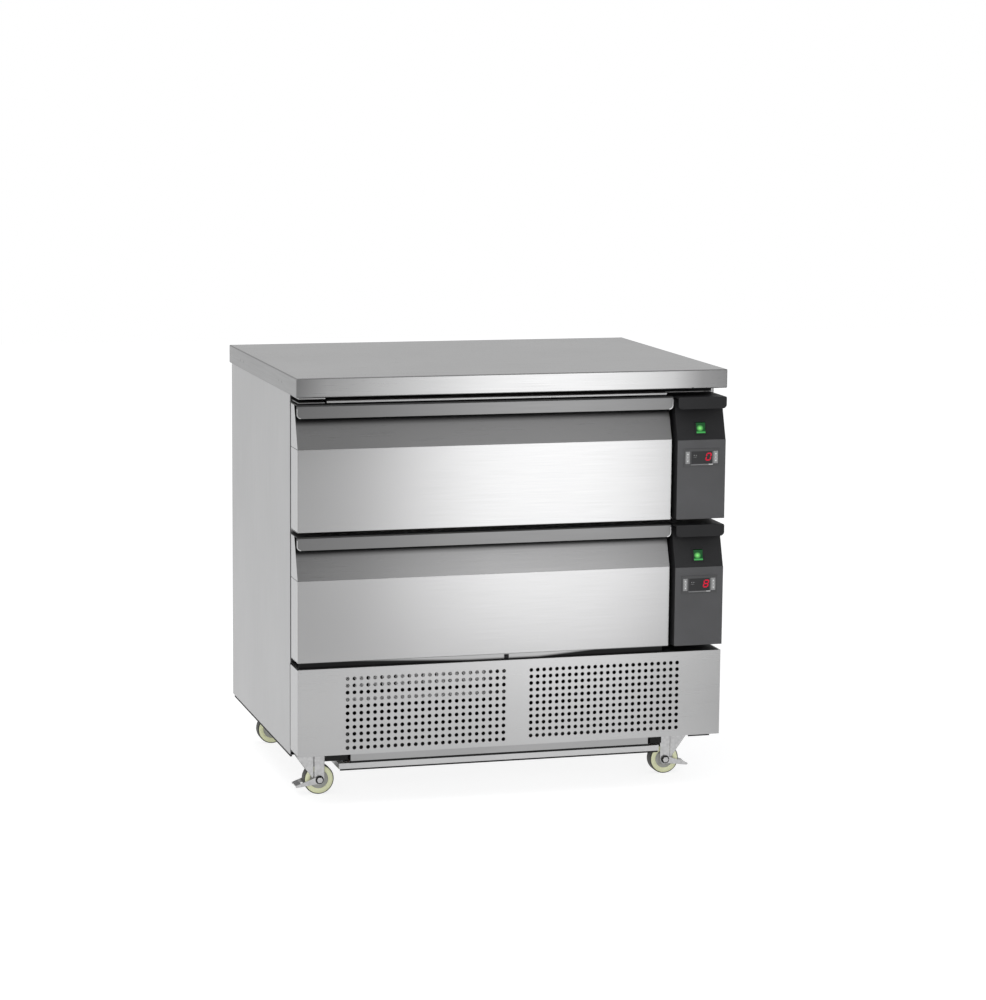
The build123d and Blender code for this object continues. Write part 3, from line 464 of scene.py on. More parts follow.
# %% [markdown]
# Two small things glow: the red digit segments and the lit rocker, which is brightest over its
# lamp and along its foot. Their strength stays low, so that the colour isn't burnt out.


# %% Glowing finishes
def glowing(name, colour, strength, shine):
    """Coloured plastic, a little uneven, with a light behind it."""
    nt, shader = finish(name, tuple(c * 0.5 for c in colour), 0.0, 0.35)
    shader.inputs["Emission Strength"].default_value = strength
    shader.inputs["Specular IOR Level"].default_value = shine
    tint(nt, shader, noise(nt, 300.0), tuple(c * 0.4 for c in colour), tuple(c * 0.6 for c in colour))
    return nt, shader


nt, shader = glowing("digit_red", (0.5, 0.004, 0.03), 0.72, 0.1)
shader.inputs["Emission Color"].default_value = (0.72, 0.006, 0.04, 1)

nt, shader = glowing("rocker_green", (0.006, 0.08, 0.018), 1.0, 0.15)
deep_green, lamp_green, foot_green = (0.003, 0.045, 0.01), (0.26, 0.9, 0.22), (0.07, 0.42, 0.1)
lamp_spot = (0.44, 0, 0.5)
at = axes_of(nt, "Generated")
flat = output(nt, "CombineXYZ", {"X": at["X"], "Z": at["Z"]})
away = node(nt, "VectorMath", {0: flat, 1: lamp_spot}, operation="DISTANCE").outputs["Value"]
glow = mixed(nt, spread(nt, away, 1.0, 0.0, 0.0, 0.3), deep_green, lamp_green)
glow = mixed(nt, spread(nt, at["Z"], 0.9, 0.0, 0.17, 0.24), glow, foot_green)
nt.links.new(glow, shader.inputs["Emission Color"])
print("finishes in all", len(looks))

# %% [markdown]
# ## Ways of making the pieces
#
# Nearly everything on the counter is folded sheet, so the main tool folds a line of points into
# a sheet: it draws the section, runs it along X, rounds the folds and then gives the sheet its
# thickness. A second tool makes solid mouldings with soft edges, a third turns round parts, and
# a fourth takes a CAD node's own shape and breaks its sharp edges, as a deburred part has them.
# All sizes from here on are in millimetres.


def box_of(node_name):
    """The two corners of a CAD node."""
    return [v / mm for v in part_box(node_name)]


def place(name, mesh, finishes, body, *nodes, smooth=40):
    """Link a mesh as a piece that rides on a body and stands for CAD nodes."""
    mesh.name = name
    piece = link(name, mesh)
    for one in (finishes,) if isinstance(finishes, str) else finishes:
        mesh.materials.append(looks[one])
    if smooth:
        mesh.shade_smooth()
        mesh.set_sharp_from_angle(angle=math.radians(smooth))
    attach(piece, body)
    if nodes:
        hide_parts(*nodes)
    return piece


def even_shading(piece):
    """Shade by the large faces, so that flat sheet looks flat right up to its folds."""
    old = piece.modifiers.get("shading")
    if old:
        piece.modifiers.remove(old)
    shading = piece.modifiers.new("shading", "WEIGHTED_NORMAL")
    shading.mode = "FACE_AREA"
    shading.weight = 100
    shading.keep_sharp = True
    return piece


def thicken(piece, thickness, inward=True, even=True):
    """Give a sheet its thickness, with the drawn face on the outside."""
    wall = piece.modifiers.new("thickness", "SOLIDIFY")
    wall.thickness = thickness * mm
    wall.offset = -1.0 if inward else 1.0
    wall.use_even_offset = even
    return even_shading(piece)


def soften(piece, width, steps=2):
    """Break the sharp edges of a piece."""
    edge = piece.modifiers.new("edges", "BEVEL")
    edge.width = width * mm
    edge.segments = steps
    edge.limit_method = "ANGLE"
    edge.angle_limit = math.radians(35)
    edge.harden_normals = True
    return even_shading(piece)


# %% Points, walls and folds
def points_at(bm, points):
    """New vertices at some points."""
    return [bm.verts.new([v * mm for v in point]) for point in points]


def walls(bm, one, two, closed=True, flip=False):
    """Faces between two lines of vertices."""
    for i in range(len(one) if closed else len(one) - 1):
        j = (i + 1) % len(one)
        if flip:
            i, j = j, i
        bm.faces.new((one[i], one[j], two[j], two[i]))


def folds_of(bm):
    """The edges between two faces."""
    return [e for e in bm.edges if len(e.link_faces) == 2]


def round_off(bm, geometry, radius, steps=3, kind="EDGES"):
    """Round some edges or corners."""
    bmesh.ops.bevel(bm, geom=geometry, offset=radius * mm, segments=steps, profile=0.5, affect=kind)


def turn_to_front(bm):
    """Turn every face toward the front of the counter."""
    for face in bm.faces:
        face.normal_update()
        if face.normal.y > 0:
            face.normal_flip()


def mesh_of(bm, tidy=True):
    """Turn a bmesh into a mesh, with merged points and outward normals if it is to be tidied."""
    if tidy:
        bmesh.ops.remove_doubles(bm, verts=bm.verts, dist=1e-6)
        bmesh.ops.recalc_face_normals(bm, faces=bm.faces)
    mesh = bpy.data.meshes.new("shape")
    bm.to_mesh(mesh)
    bm.free()
    return mesh


# %% Strips, prisms and boxes
def strip_mesh(points, start, end, bend, axis="X"):
    """Sheet whose section is a line of points, run along an axis, with round folds."""
    bm = bmesh.new()
    walls(bm, *(points_at(bm, lifted(points, at, axis)) for at in (start, end)), closed=False)
    if bend:
        round_off(bm, folds_of(bm), bend)
    return mesh_of(bm)


def add_prism(bm, outline, start, end, axis="X"):
    """Add a solid with an outline, run along an axis."""
    near, far = (points_at(bm, lifted(outline, at, axis)) for at in sorted((start, end)))
    bm.faces.new(near)
    bm.faces.new(list(reversed(far)))
    walls(bm, near, far, flip=True)


def prism_mesh(outline, start, end):
    """Solid with an outline (y, z), run along X."""
    bm = bmesh.new()
    add_prism(bm, outline, start, end)
    return mesh_of(bm)


def slab_mesh(low, high):
    """Box between two corners."""
    return prism_mesh(rectangle(low[1], low[2], high[1], high[2]), low[0], high[0])


def add_block(bm, low, high):
    """Add a box between two corners."""
    corners = points_at(bm, [[(high if k >> i & 1 else low)[i] for i in range(3)] for k in range(8)])
    for face in ((0, 2, 3, 1), (4, 5, 7, 6), (0, 1, 5, 4), (2, 6, 7, 3), (0, 4, 6, 2), (1, 3, 7, 5)):
        bm.faces.new([corners[k] for k in face])


# %% Folded trays
def tray_mesh(low, high, flange, fold, corner, closed_top):
    """Open box between two corners, with an inward flange round its rim."""
    bm = bmesh.new()
    shut, rim = (high[2], low[2]) if closed_top else (low[2], high[2])
    rings = []
    for inset, z in ((0, shut), (0, rim), (flange, rim)):
        outline = rectangle(low[0] + inset, low[1] + inset, high[0] - inset, high[1] - inset)
        rings.append(points_at(bm, lifted(outline, z, "Z")))
    bm.faces.new(rings[0])
    for one, two in zip(rings, rings[1:]):
        walls(bm, one, two, flip=True)
    upright = [e for e in bm.edges if e.verts[0].co.xy == e.verts[1].co.xy]
    bmesh.ops.recalc_face_normals(bm, faces=bm.faces)
    if bm.faces[0].normal.z * (1 if closed_top else -1) < 0:
        bmesh.ops.reverse_faces(bm, faces=bm.faces)
    round_off(bm, upright, corner, 5)
    level = [e for e in folds_of(bm) if abs(e.verts[0].co.z - e.verts[1].co.z) < 1e-7
             and {round(f.normal.z) for f in e.link_faces} in ({0, 1}, {0, -1})]
    round_off(bm, level, fold)
    return mesh_of(bm, tidy=False)


# %% Turned parts and freed CAD shapes
def circle(x, z, radius, count, first=0.0):
    """Points (x, z) round a circle, the first one a part of a step along."""
    angles = [2 * math.pi * (k + first) / count for k in range(count)]
    return [(x + radius * math.cos(a), z + radius * math.sin(a)) for a in angles]


def turned_mesh(profile, centre, axis="Y", steps=48, closed=True):
    """Turn a profile of (along, radius) about an axis through a centre."""
    bm = bmesh.new()
    rings = []
    for u, v in circle(0, 0, 1, steps):
        spots = [lifted([(radius * u, radius * v)], along, axis)[0] for along, radius in profile]
        rings.append(points_at(bm, [[c + p for c, p in zip(centre, spot)] for spot in spots]))
    for here, there in zip(rings, rings[1:] + rings[:1]):
        walls(bm, here, there, closed)
    return mesh_of(bm)


def freed_mesh(node_name):
    """The CAD node's own shape as clean flat faces, ready for soft edges."""
    bm = bmesh.new()
    bm.from_mesh(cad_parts[node_name].data)
    bmesh.ops.remove_doubles(bm, verts=bm.verts, dist=2e-6)
    bmesh.ops.dissolve_limit(bm, angle_limit=math.radians(1), verts=bm.verts, edges=bm.edges)
    return mesh_of(bm)


def dress(name, *nodes):
    """Give CAD nodes that stay their finish."""
    for one in nodes:
        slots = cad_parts[one].material_slots
        if not slots:
            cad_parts[one].data.materials.append(looks[name])
        for slot in slots:
            slot.material = looks[name]


def deburred(node_name, name, finishes, body, width, steps=2):
    """A CAD node's own shape with its edges broken by a width."""
    piece = place(name, freed_mesh(node_name), finishes, body, node_name)
    return soften(piece, width, steps)


print("tools ready")

# %% [markdown]
# ## The worktop
#
# The worktop is one sheet folded down on all four sides and returned inward under the rim. Its
# corners are welded and ground, so they are only a little rounded. It is drawn as an open box,
# rounded at its folds and corners, and thickened inward. Its top, its folds, its skirts at the
# sides and its rims at front and back mirror different parts of the room, and each also takes its
# own grey of the same steel: painted shade, darkest on the folds and the skirts.

# %% Worktop
low, high = box_of("worktop")
sheet = tray_mesh(low, high, flange=25.0, fold=2.0, corner=2.4, closed_top=True)
top, fold, skirt, rim = range(4)
# Each way the sheet faces takes its own grey: painted shade on the folds and skirts.
for face in sheet.polygons:
    x, y, z = (abs(v) for v in face.normal)
    upright = skirt if x > y else rim
    face.material_index = top if z >= 0.97 else fold if z > 0.08 else upright
worktop = place("worktop_sheet", sheet, ("worktop_steel", "fold_line", "skirt_steel", "rim_steel"),
                "cabinet", "worktop")
thicken(worktop, 1.5, even=False)
print("worktop", [round(v / mm) for v in worktop.dimensions])

# %% Spot welds on the worktop's left rim
weld_height, weld_profile = low.z + 17.0, [(-0.25, 0.0), (-0.3, 2.2), (0.05, 3.0), (0.05, 0.0)]
for k, y in enumerate((-191.5, -161.5, 191.5, 225.5)):
    dimple = turned_mesh(weld_profile, (low.x + 0.2, y, weld_height), "X", 20, closed=False)
    place(f"spot_weld_{k}", dimple, "handle_steel", "cabinet")
print("spot welds 4")

# %% [markdown]
# ## Side and back panels
#
# Each side is one sheet with its top and bottom edges turned inward. The back is a flat sheet
# with slots where the machines draw their air, screwed on round its edge.

# %% Side panels
sheet_thickness = 1.2
for side in ("left", "right"):
    low, high = box_of(f"{side}_side_panel")
    outer, inner = (low.x, high.x) if side == "left" else (high.x, low.x)
    section = [(inner, low.z), (outer, low.z), (outer, high.z), (inner, high.z)]
    mesh = strip_mesh(section, low.y, high.y, 1.4, "Y")
    panel = place(f"{side}_side_sheet", mesh, "side_steel", "cabinet", f"{side}_side_panel")
    thicken(panel, sheet_thickness)
    print(side, "side", [round(v / mm) for v in panel.dimensions])

# %% [markdown]
# A punched sheet is made from cells. Each cell is a ring of faces between its square border and
# its hole, and neighbouring cells share their border, so the sheet is one clean surface.


# %% Punched sheet
def punched_cell(bm, x, y, z, half, hole, steps=16):
    """One square cell of half a width with a round hole of a radius."""
    reach = [(half * c / max(abs(c), abs(s)), half * s / max(abs(c), abs(s)))
             for c, s in circle(0, 0, 1, steps, 0.5)]
    ring, border, corners = (points_at(bm, lifted(outline, y, "Y")) for outline in (
        circle(x, z, hole, steps, 0.5), [(x + u, z + v) for u, v in reach],
        rectangle(x + half, z + half, x - half, z - half)))
    walls(bm, ring, border)
    quarter = steps // 4
    for k, corner in enumerate(corners):
        i = quarter * k + quarter // 2 - 1
        bm.faces.new((border[i], border[i + 1], corner))


print("punching ready")

# %% [markdown]
# ## The grille
#
# The grille is a shallow folded cover. Two fields of round holes let the air through, 24 across
# and 11 down. The rest of the sheet is laid out as flat faces round the two fields.

# %% Grille
low, high = box_of("grille_panel")
hole_radius, columns, rows_down = 4.0, 24, 11
fields = ((-180.5, 14.0, 194.3), (193.0, 13.5, 196.0))
band_low, band_high = 195.0 - 80.0, 195.0 + 80.0
bm = bmesh.new()
plain = [(low.x, high.x, low.z, band_low), (low.x, high.x, band_high, high.z)]
edges = [low.x]
for centre, pitch, middle in fields:
    for i in range(columns):
        for j in range(rows_down):
            x, z = centre + (i - (columns - 1) / 2) * pitch, middle + (j - (rows_down - 1) / 2) * pitch
            punched_cell(bm, x, low.y, z, pitch / 2, hole_radius)
    x0, x1 = centre - columns * pitch / 2, centre + columns * pitch / 2
    plain.append((x0, x1, band_low, middle - rows_down * pitch / 2))
    plain.append((x0, x1, middle + rows_down * pitch / 2, band_high))
    edges += [x0, x1]
edges.append(high.x)
plain += [(x0, x1, band_low, band_high) for x0, x1 in zip(edges[0::2], edges[1::2])]
for x0, x1, z0, z1 in plain:
    bm.faces.new(points_at(bm, lifted(rectangle(x0, z0, x1, z1), low.y, "Y")))
turn_to_front(bm)
grille = place("grille_face", mesh_of(bm, tidy=False), "grille_steel", "cabinet", "grille_panel", smooth=0)
thicken(grille, sheet_thickness)
print("grille holes", len(fields) * columns * rows_down)

# %% Grille folds
start_y = low.y + 0.02
for name, z in (("grille_top_fold", high.z), ("grille_bottom_fold", low.z)):
    fold = place(name, strip_mesh([(start_y, z), (high.y, z)], low.x, high.x, 0), "grille_steel", "cabinet")
    thicken(fold, sheet_thickness, inward=z == low.z)
for name, x in (("grille_left_fold", low.x), ("grille_right_fold", high.x - sheet_thickness)):
    ear = slab_mesh((x, start_y, low.z), (x + sheet_thickness, high.y, high.z))
    soften(place(name, ear, "grille_steel", "cabinet"), 0.4)
print("grille folds 4")

# %% [markdown]
# Dark strips fill the gaps round the drawers and dark boards stand round the machines behind the
# grille: painted shade, so that the gaps and the space behind the grille read as black. Thin dark
# strips along the foot of the sides and of the front, under the pan and at a notch in the rim are
# painted shade as well; the two strips at the grille's sides are dark seams. Under the worktop runs
# a narrow bright rail with a corner bracket at its left end. A small screwed catch stands in the
# gap above the grille, before a lip that painted shade leaves bright only in its middle.

# %% Gap strips, rail and catch
def slabs(look, rows):
    """Slabs of one finish between two corners, with their edges broken by a width."""
    for name, low_corner, high_corner, width in rows:
        soften(place(name, slab_mesh(low_corner, high_corner), look, "cabinet"), width)


face_y = box_of("front_frame")[0].y
# Painted shade: these dark slabs make the gaps and hollows read black; the grille seams are dark joints.
slabs("seam_dark", (
    ("gap_foam_top", (-440, face_y - 1.3, 811.5), (436, face_y - 0.1, 824.6), 0.3),
    ("gap_foam_sill", (-440, face_y - 1.3, 287.2), (440, face_y - 0.1, 298), 0.3),
    ("gap_foam_shelf", (-438, face_y - 68.5, 286.05), (438, face_y - 1.5, 287.0), 0.3),
    ("gap_foam_tray", (-319, -247.0, 73.0), (319, -246.55, 77.2), 0.1),
    ("left_gap_board", (-369, -244.2, 79.0), (-321, -242.8, 110.2), 0.3),
    ("right_gap_board", (321, -244.2, 77.0), (346, -242.8, 110.2), 0.3),
    ("grille_back_board", (-319, -250.2, 108.0), (319, -249.4, 146.0), 0.1),
    ("middle_board", (-17, -243.6, 99.5), (17, -242.9, 282.0), 0.1),
    ("side_board", (322, -250.2, 106.0), (400, -249.4, 284.0), 0.1),
    ("drip_edge", (-338, -246.2, 58.4), (338, -244.6, 61.4), 0.2),
    ("left_edge_seal", (-441.8, -254.0, 95.6), (-438.0, 318.0, 98.9), 0.2),
    ("left_grille_seam", (-442.3, -255.6, 111.0), (-441.6, -253.7, 286.0), 0.1),
    ("right_edge_seal", (438.0, -254.0, 95.6), (441.8, 318.0, 98.9), 0.2),
    ("right_grille_seam", (441.6, -255.6, 111.0), (442.3, -253.7, 286.0), 0.1),
    ("front_edge_seal", (375, -326.3, 107.8), (421, -324.9, 110.5), 0.2),
    ("rim_notch", (368.5, -326.9, 824.2), (373.5, -326.3, 827.4), 0.1),
))
rail = [(face_y - 0.2, 817.0), (-321.5, 817.0), (-321.5, 813.6)]
head_rail = place("head_rail", strip_mesh(rail, -383, 317, 1.0), "chassis_steel", "cabinet")
thicken(head_rail, 1.1, inward=False)
for look, *row in (
    ("strip_steel", "corner_bracket_top", (-439, -321.5, 821.4), (-386, face_y - 1.4, 823.8), 0.3),
    ("handle_steel", "corner_bracket_foot", (-439, -319.5, 812.6), (-386, face_y - 1.4, 814.9), 0.3),
    ("lip_steel", "sill_lip", (-438, -317.3, 287.05), (318, -316.6, 297.9), 0.1),
    ("fin_black", "catch_tab", (-16.5, -319.0, 286.9), (-7.5, -317.6, 296.4), 0.3),
):
    slabs(look, [row])
screw = [(-3.4, 0.0), (-3.1, 2.4), (-2.2, 3.8), (0, 4.1), (0, 0.0)]
place("catch_screw", turned_mesh(screw, (-12, -319.0, 292.2), "Y", 24, False), "fin_black", "cabinet")
print("gap strips and boards 16, lip 1, rail 1")

# %% [markdown]
# Behind the grille's left half there is a slotted light rail, which can be seen through the
# upper rows of holes.

# %% Light rail behind the grille
rail_back, rail_face, rail_left, rail_right = -256.2, -255.0, -345, 20
bar_pitch, bar_width = 28.0, 18
bm = bmesh.new()
for k in range(13):
    x = -338 + bar_pitch * k
    add_block(bm, (x, rail_back, 229), (x + bar_width, rail_face, 276))
for z0, z1 in ((276, 284), (203, 210.5)):
    add_block(bm, (rail_left, rail_back, z0), (rail_right, rail_face, z1))
air_rail = place("air_rail", mesh_of(bm), "runner_steel", "cabinet", smooth=0)
print("air rail", [round(v / mm) for v in air_rail.dimensions])

# %% [markdown]
# ## The drawer fronts
#
# A drawer front is a bright brushed panel with a darker slope above it, which leaves room for
# the fingers behind the handle. The panel, the slope and the ends are separate sheets round
# the foam, with a fine joint at the fold line.

# %% Drawer fronts
fold_height, slope_depth = 164.0, 31.5
for bay in bays:
    low, high = box_of(f"{bay}_drawer_front")
    fold_z, slope_y, body = low.z + fold_height, low.y + slope_depth, f"{bay}_drawer"
    section = [(high.y, low.z), (low.y, low.z), (low.y, fold_z - 0.25)]
    panel = place(f"{bay}_front_panel", strip_mesh(section, low.x, high.x, 1.6), "front_steel", body,
                  f"{bay}_drawer_front")
    thicken(panel, sheet_thickness)
    section = [(low.y + 0.2, fold_z + 0.35), (slope_y, high.z), (high.y, high.z)]
    # The slope's steel is a darker copy of the panel's: painted shade, on top of the greyer paper it
    # mirrors.
    slope = place(f"{bay}_front_slope", strip_mesh(section, low.x, high.x, 1.2), "slope_steel", body)
    thicken(slope, sheet_thickness)
    lower_end = rectangle(low.y + 1.3, low.z + 1.3, high.y, fold_z - 0.5)
    upper_end = [(low.y + 1.5, fold_z + 0.5), (high.y, fold_z + 0.5), (high.y, high.z - 1.3),
                 (slope_y + 0.9, high.z - 1.3)]
    for side, x in (("left", low.x), ("right", high.x - sheet_thickness)):
        for kind, outline in (("end", lower_end), ("upper_end", upper_end)):
            cap = prism_mesh(outline, x, x + sheet_thickness)
            soften(place(f"{bay}_{side}_{kind}", cap, "front_steel", body), 0.35)
    print(bay, "front", [round(v / mm) for v in panel.dimensions])

# %% [markdown]
# ## Handles
#
# Each handle is a folded strip along the whole front: it lies on top of the drawer front and
# turns down into a lip that the fingers reach under. Its top and its fold take a near black steel,
# a painted shade. The lip's lower corners are rounded, and both its ends are hemmed; the hems take
# a brighter steel, a painted highlight that shows as a bright border round the corners.

# %% Handles
corner_radius, hem_width, hem_steps = 8.5, 1.6, 7
for bay in bays:
    low, high = box_of(f"{bay}_drawer_handle")
    section = [(low.y, low.z), (low.y, high.z), (high.y, high.z)]
    bm = bmesh.new()
    rows = [points_at(bm, lifted(section, x)) for x in (low.x, high.x)]
    walls(bm, *rows, closed=False)
    round_off(bm, [rows[0][0], rows[1][0]], corner_radius, 6, "VERTICES")
    round_off(bm, folds_of(bm), 4.6, 6)
    # Faces that are not upright take fold_shade, a painted shade.
    for face in bm.faces:
        face.normal_update()
        face.material_index = int(abs(face.normal.z) > 0.2)
    lip = place(f"{bay}_handle_lip", mesh_of(bm), ("handle_steel", "fold_shade"), f"{bay}_drawer",
                f"{bay}_drawer_handle")
    thicken(lip, 1.5)
    soften(lip, 0.4)
    bm = bmesh.new()
    for end_x, inward in ((low.x, 1), (high.x, -1)):
        lines = []
        for inset in (0.0, hem_width):
            path = [(end_x + inward * inset, high.z - 7)]
            for k in range(hem_steps):
                a, radius = k * math.pi / 12, corner_radius - inset
                path.append((end_x + inward * (corner_radius - radius * math.cos(a)),
                             low.z + corner_radius - radius * math.sin(a)))
            lines.append(points_at(bm, lifted(path, low.y - 0.5, "Y")))
        walls(bm, *lines, closed=False)
    turn_to_front(bm)
    # The hem's brighter steel is a painted highlight round the lip's corners.
    hem = place(f"{bay}_handle_hem", mesh_of(bm, tidy=False), "runner_steel", f"{bay}_drawer")
    thicken(hem, 0.8)
    soften(hem, 0.25)
    print(bay, "handle", [round(v / mm) for v in lip.dimensions])

# %% [markdown]
# ## Behind the fronts
#
# The gasket is a soft strip with a bellows between its foot and its face. It is drawn as one
# section carried round the four sides. The drawer box is a deep tray with a turned-in rim.

# %% Gaskets
gasket_section = [(0, 0), (14, 0), (14, 2.4), (10.6, 3.6), (12.6, 5.4), (12.2, 9.4), (1.8, 9.4), (1.4, 5.4),
                  (3.4, 3.6), (0, 2.4)]
for bay in bays:
    low, high = box_of(f"{bay}_drawer_gasket")
    bm = bmesh.new()
    loops = []
    for inset, depth in gasket_section:
        outline = rectangle(low.x + inset, low.z + inset, high.x - inset, high.z - inset)
        loops.append(points_at(bm, lifted(outline, low.y + depth, "Y")))
    for one, two in zip(loops, loops[1:] + loops[:1]):
        walls(bm, one, two)
    seal = place(f"{bay}_gasket", mesh_of(bm), "gasket_rubber", f"{bay}_drawer", f"{bay}_drawer_gasket",
                 smooth=0)
    soften(seal, 0.4)
print("gaskets 2")

# %% Drawer boxes
for bay in bays:
    mesh = tray_mesh(*box_of(f"{bay}_drawer_box"), flange=9.0, fold=1.4, corner=9.0, closed_top=False)
    box = place(f"{bay}_box", mesh, "liner_steel", f"{bay}_drawer", f"{bay}_drawer_box")
    thicken(box, sheet_thickness)
    print(bay, "box", [round(v / mm) for v in box.dimensions])

# %% [markdown]
# ## Control housings
#
# The housings are black mouldings with the drawers' own fold line. Their shape comes from the
# CAD node, with its sharp edges broken and the outer corners of their lips rounded. The face
# plates, the display frames and the rockers are made the same way, each in its own finish.

# %% Housings and face plates
mesh = freed_mesh("control_housings")
bm = bmesh.new()
bm.from_mesh(mesh)
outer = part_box("control_housings")[1].x
lip_tops = [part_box(f"{bay}_drawer_handle")[1].z - 1.0 * mm for bay in bays]


def on_lip_end(v):
    """True for a vertex at the outer end of a lip's top."""
    return v.co.x > outer - 0.1 * mm and any(abs(round(v.co.z, 4) - top) < 1.5 * mm for top in lip_tops)


corner = [e for e in bm.edges if all(on_lip_end(v) for v in e.verts)]
round_off(bm, corner, 2.6, 4)
bm.to_mesh(mesh)
bm.free()
print("rounded housing corners", len(corner))
soften(place("housing_shells", mesh, "housing_plastic", "cabinet", "control_housings"), 0.9)
deburred("face_plates", "housing_faces", "face_plate_grey", "cabinet", 0.35)
deburred("controllers", "display_frames", "controller_grey", "cabinet", 0.3)
dress("window_black", "display_windows")
for bay in bays:
    deburred(f"{bay}_switch", f"{bay}_rocker_lens", "rocker_green", f"{bay}_rocker", 0.5, 3)
    for side in ("left", "right"):
        deburred(f"{bay}_{side}_keys", f"{bay}_{side}_key_cap", "key_grey", f"{bay}_{side}_key", 0.25)
print("rockers 2, keys 4")

# %% [markdown]
# ## Displays
#
# A display shows one digit made of seven leaning bars. A thin light line runs along the bottom
# and the right of the window, and the key columns carry small plain signs: an arrow up, an arrow
# down and a dot. All of them are flat mouldings a tenth of a millimetre proud.

# %% Flat signs
proud, sunk = 0.12, 0.05


def flat_sign(name, shapes, y, look, body):
    """Flat shapes, each a list of (x, z) points, a little proud of the plane y."""
    bm = bmesh.new()
    for shape in shapes:
        front, back = (points_at(bm, lifted(shape, at, "Y")) for at in (y - proud, y + sunk))
        bm.faces.new(front)
        walls(bm, front, back, flip=True)
    return place(name, mesh_of(bm), look, body, smooth=0)


def bar(x, z, length, width, upright):
    """One bar of a digit, with pointed ends."""
    h, w = length / 2, width / 2
    outline = [(w - h, -w), (h - w, -w), (h, 0), (h - w, w), (w - h, w), (-h, 0)]
    return [(x + v, z + u) if upright else (x + u, z + v) for u, v in outline]


def digit_shapes(bars, x, z, width=9.2, height=13.6, thick=2.4, lean=0.2):
    """The lit bars of a seven-bar digit, leaning to the right."""
    w, h = width / 2, height / 4
    places = {"a": (0, 2 * h, 0), "b": (w, h, 1), "c": (w, -h, 1), "d": (0, -2 * h, 0), "e": (-w, -h, 1),
              "f": (-w, h, 1), "g": (0, 0, 0)}
    shapes = []
    for one in bars:
        px, pz, upright = places[one]
        length = (2 * h if upright else width) - 0.5
        shapes.append([(x + u + v * lean, z + v) for u, v in bar(px, pz, length, thick, upright)])
    return shapes


def stroke(x0, z0, x1, z1, width):
    """Straight line of a width between two points."""
    along = Vector((x1 - x0, z1 - z0)).normalized() * width / 2
    n = Vector((-along.y, along.x))
    return [(x0 + n.x, z0 + n.y), (x0 - n.x, z0 - n.y), (x1 - n.x, z1 - n.y), (x1 + n.x, z1 + n.y)]


# %% Digits and signs
window_y, key_y = box_of("display_windows")[0].y, box_of("upper_left_keys")[0].y
for bay, bars, middle in (("lower", "abcdefg", 427.5), ("upper", "abcdef", 687.5)):
    foot = middle - 14.6
    for name, shapes, look in (
        ("digit", digit_shapes(bars, 400.2, middle + 1.2), "digit_red"),
        ("display_line", [stroke(363, foot, 401, foot, 1.0),
                          stroke(409.8, foot, 409.8, middle + 12, 0.8)], "key_grey"),
        ("display_dash", [stroke(400.5, middle - 14.4, 409.5, middle - 14.4, 1.5)], "mark_white"),
        ("display_lamps", [circle(369.5, middle + 4.5, 1.0, 12), circle(374.0, middle + 4.5, 0.9, 12),
                           stroke(368, middle + 1.0, 375, middle + 1.0, 0.5)], "key_grey"),
    ):
        flat_sign(f"{bay}_{name}", shapes, window_y, look, "cabinet")
    for side, x in (("left", 355.75), ("right", 415.75)):
        shapes = [[(x - 2.2, middle + 5.5), (x + 2.2, middle + 5.5), (x, middle + 9.3)],
                  circle(x, middle, 1.3, 12),
                  [(x - 2.2, middle - 5.5), (x, middle - 9.3), (x + 2.2, middle - 5.5)]]
        shapes += [stroke(x - 3.0, middle + rise, x + 3.0, middle + rise, 0.4) for rise in (3.0, -3.0)]
        flat_sign(f"{bay}_{side}_key_signs", shapes, key_y, "mark_white", f"{bay}_{side}_key")
print("digits 0 and 8")

# %% [markdown]
# ## Under and inside the cabinet
#
# The chassis rails and the base pan are folded from thicker sheet. They, the frame, the liners,
# the runners and the machines keep the CAD shape with broken edges.

# %% Chassis, pan, frame
for node_name, name, look, width in (
    ("chassis", "chassis_rails", "chassis_steel", 0.5),
    ("base_pan", "drip_pan", "pan_steel", 0.35),
    ("electrical_box", "junction_box", "box_plastic", 1.5),
    ("power_inlet", "inlet_socket", "box_plastic", 0.6),
    ("front_frame", "frame_rails", "frame_steel", 0.5),
    ("compartment_liners", "liner_shells", "liner_steel", 0.4),
    ("duct_panels", "air_panels", "liner_steel", 0.2),
    ("cabinet_runners", "outer_runners", "runner_steel", 0.3),
    ("back_panel", "back_sheet", "back_steel", 0.25),
    ("castor_plates", "castor_top_plates", "castor_zinc", 0.5),
    ("compressors", "compressor_shells", "compressor_paint", 1.2),
):
    deburred(node_name, name, look, "cabinet", width)
for bay in bays:
    deburred(f"{bay}_drawer_inner_panel", f"{bay}_inner_skin", "liner_steel", f"{bay}_drawer", 0.6)
    deburred(f"{bay}_drawer_runners", f"{bay}_inner_runners", "runner_steel", f"{bay}_drawer", 0.25)
    deburred(f"{bay}_middle_runners", f"{bay}_middle_channels", "runner_steel", f"{bay}_middle_runner", 0.25)
dress("foam", "insulation_walls", "insulation_slabs", "insulation_back")
dress("fan_plastic", "fan_frames", "lower_evaporator_fan", "upper_evaporator_fan", "left_condenser_fan",
      "right_condenser_fan")
dress("pipe_copper", "refrigerant_lines")
print("inner pieces ready")

# %% [markdown]
# Condensers and evaporators are packs of thin fins on a row of tubes. The fins are modelled one by
# one, because the holes of the grille show them as fine lines. The condensers are black: painted
# shade for the dark space behind the grille.

# %% Fin packs
fin, end_plate = 0.4, 1.6


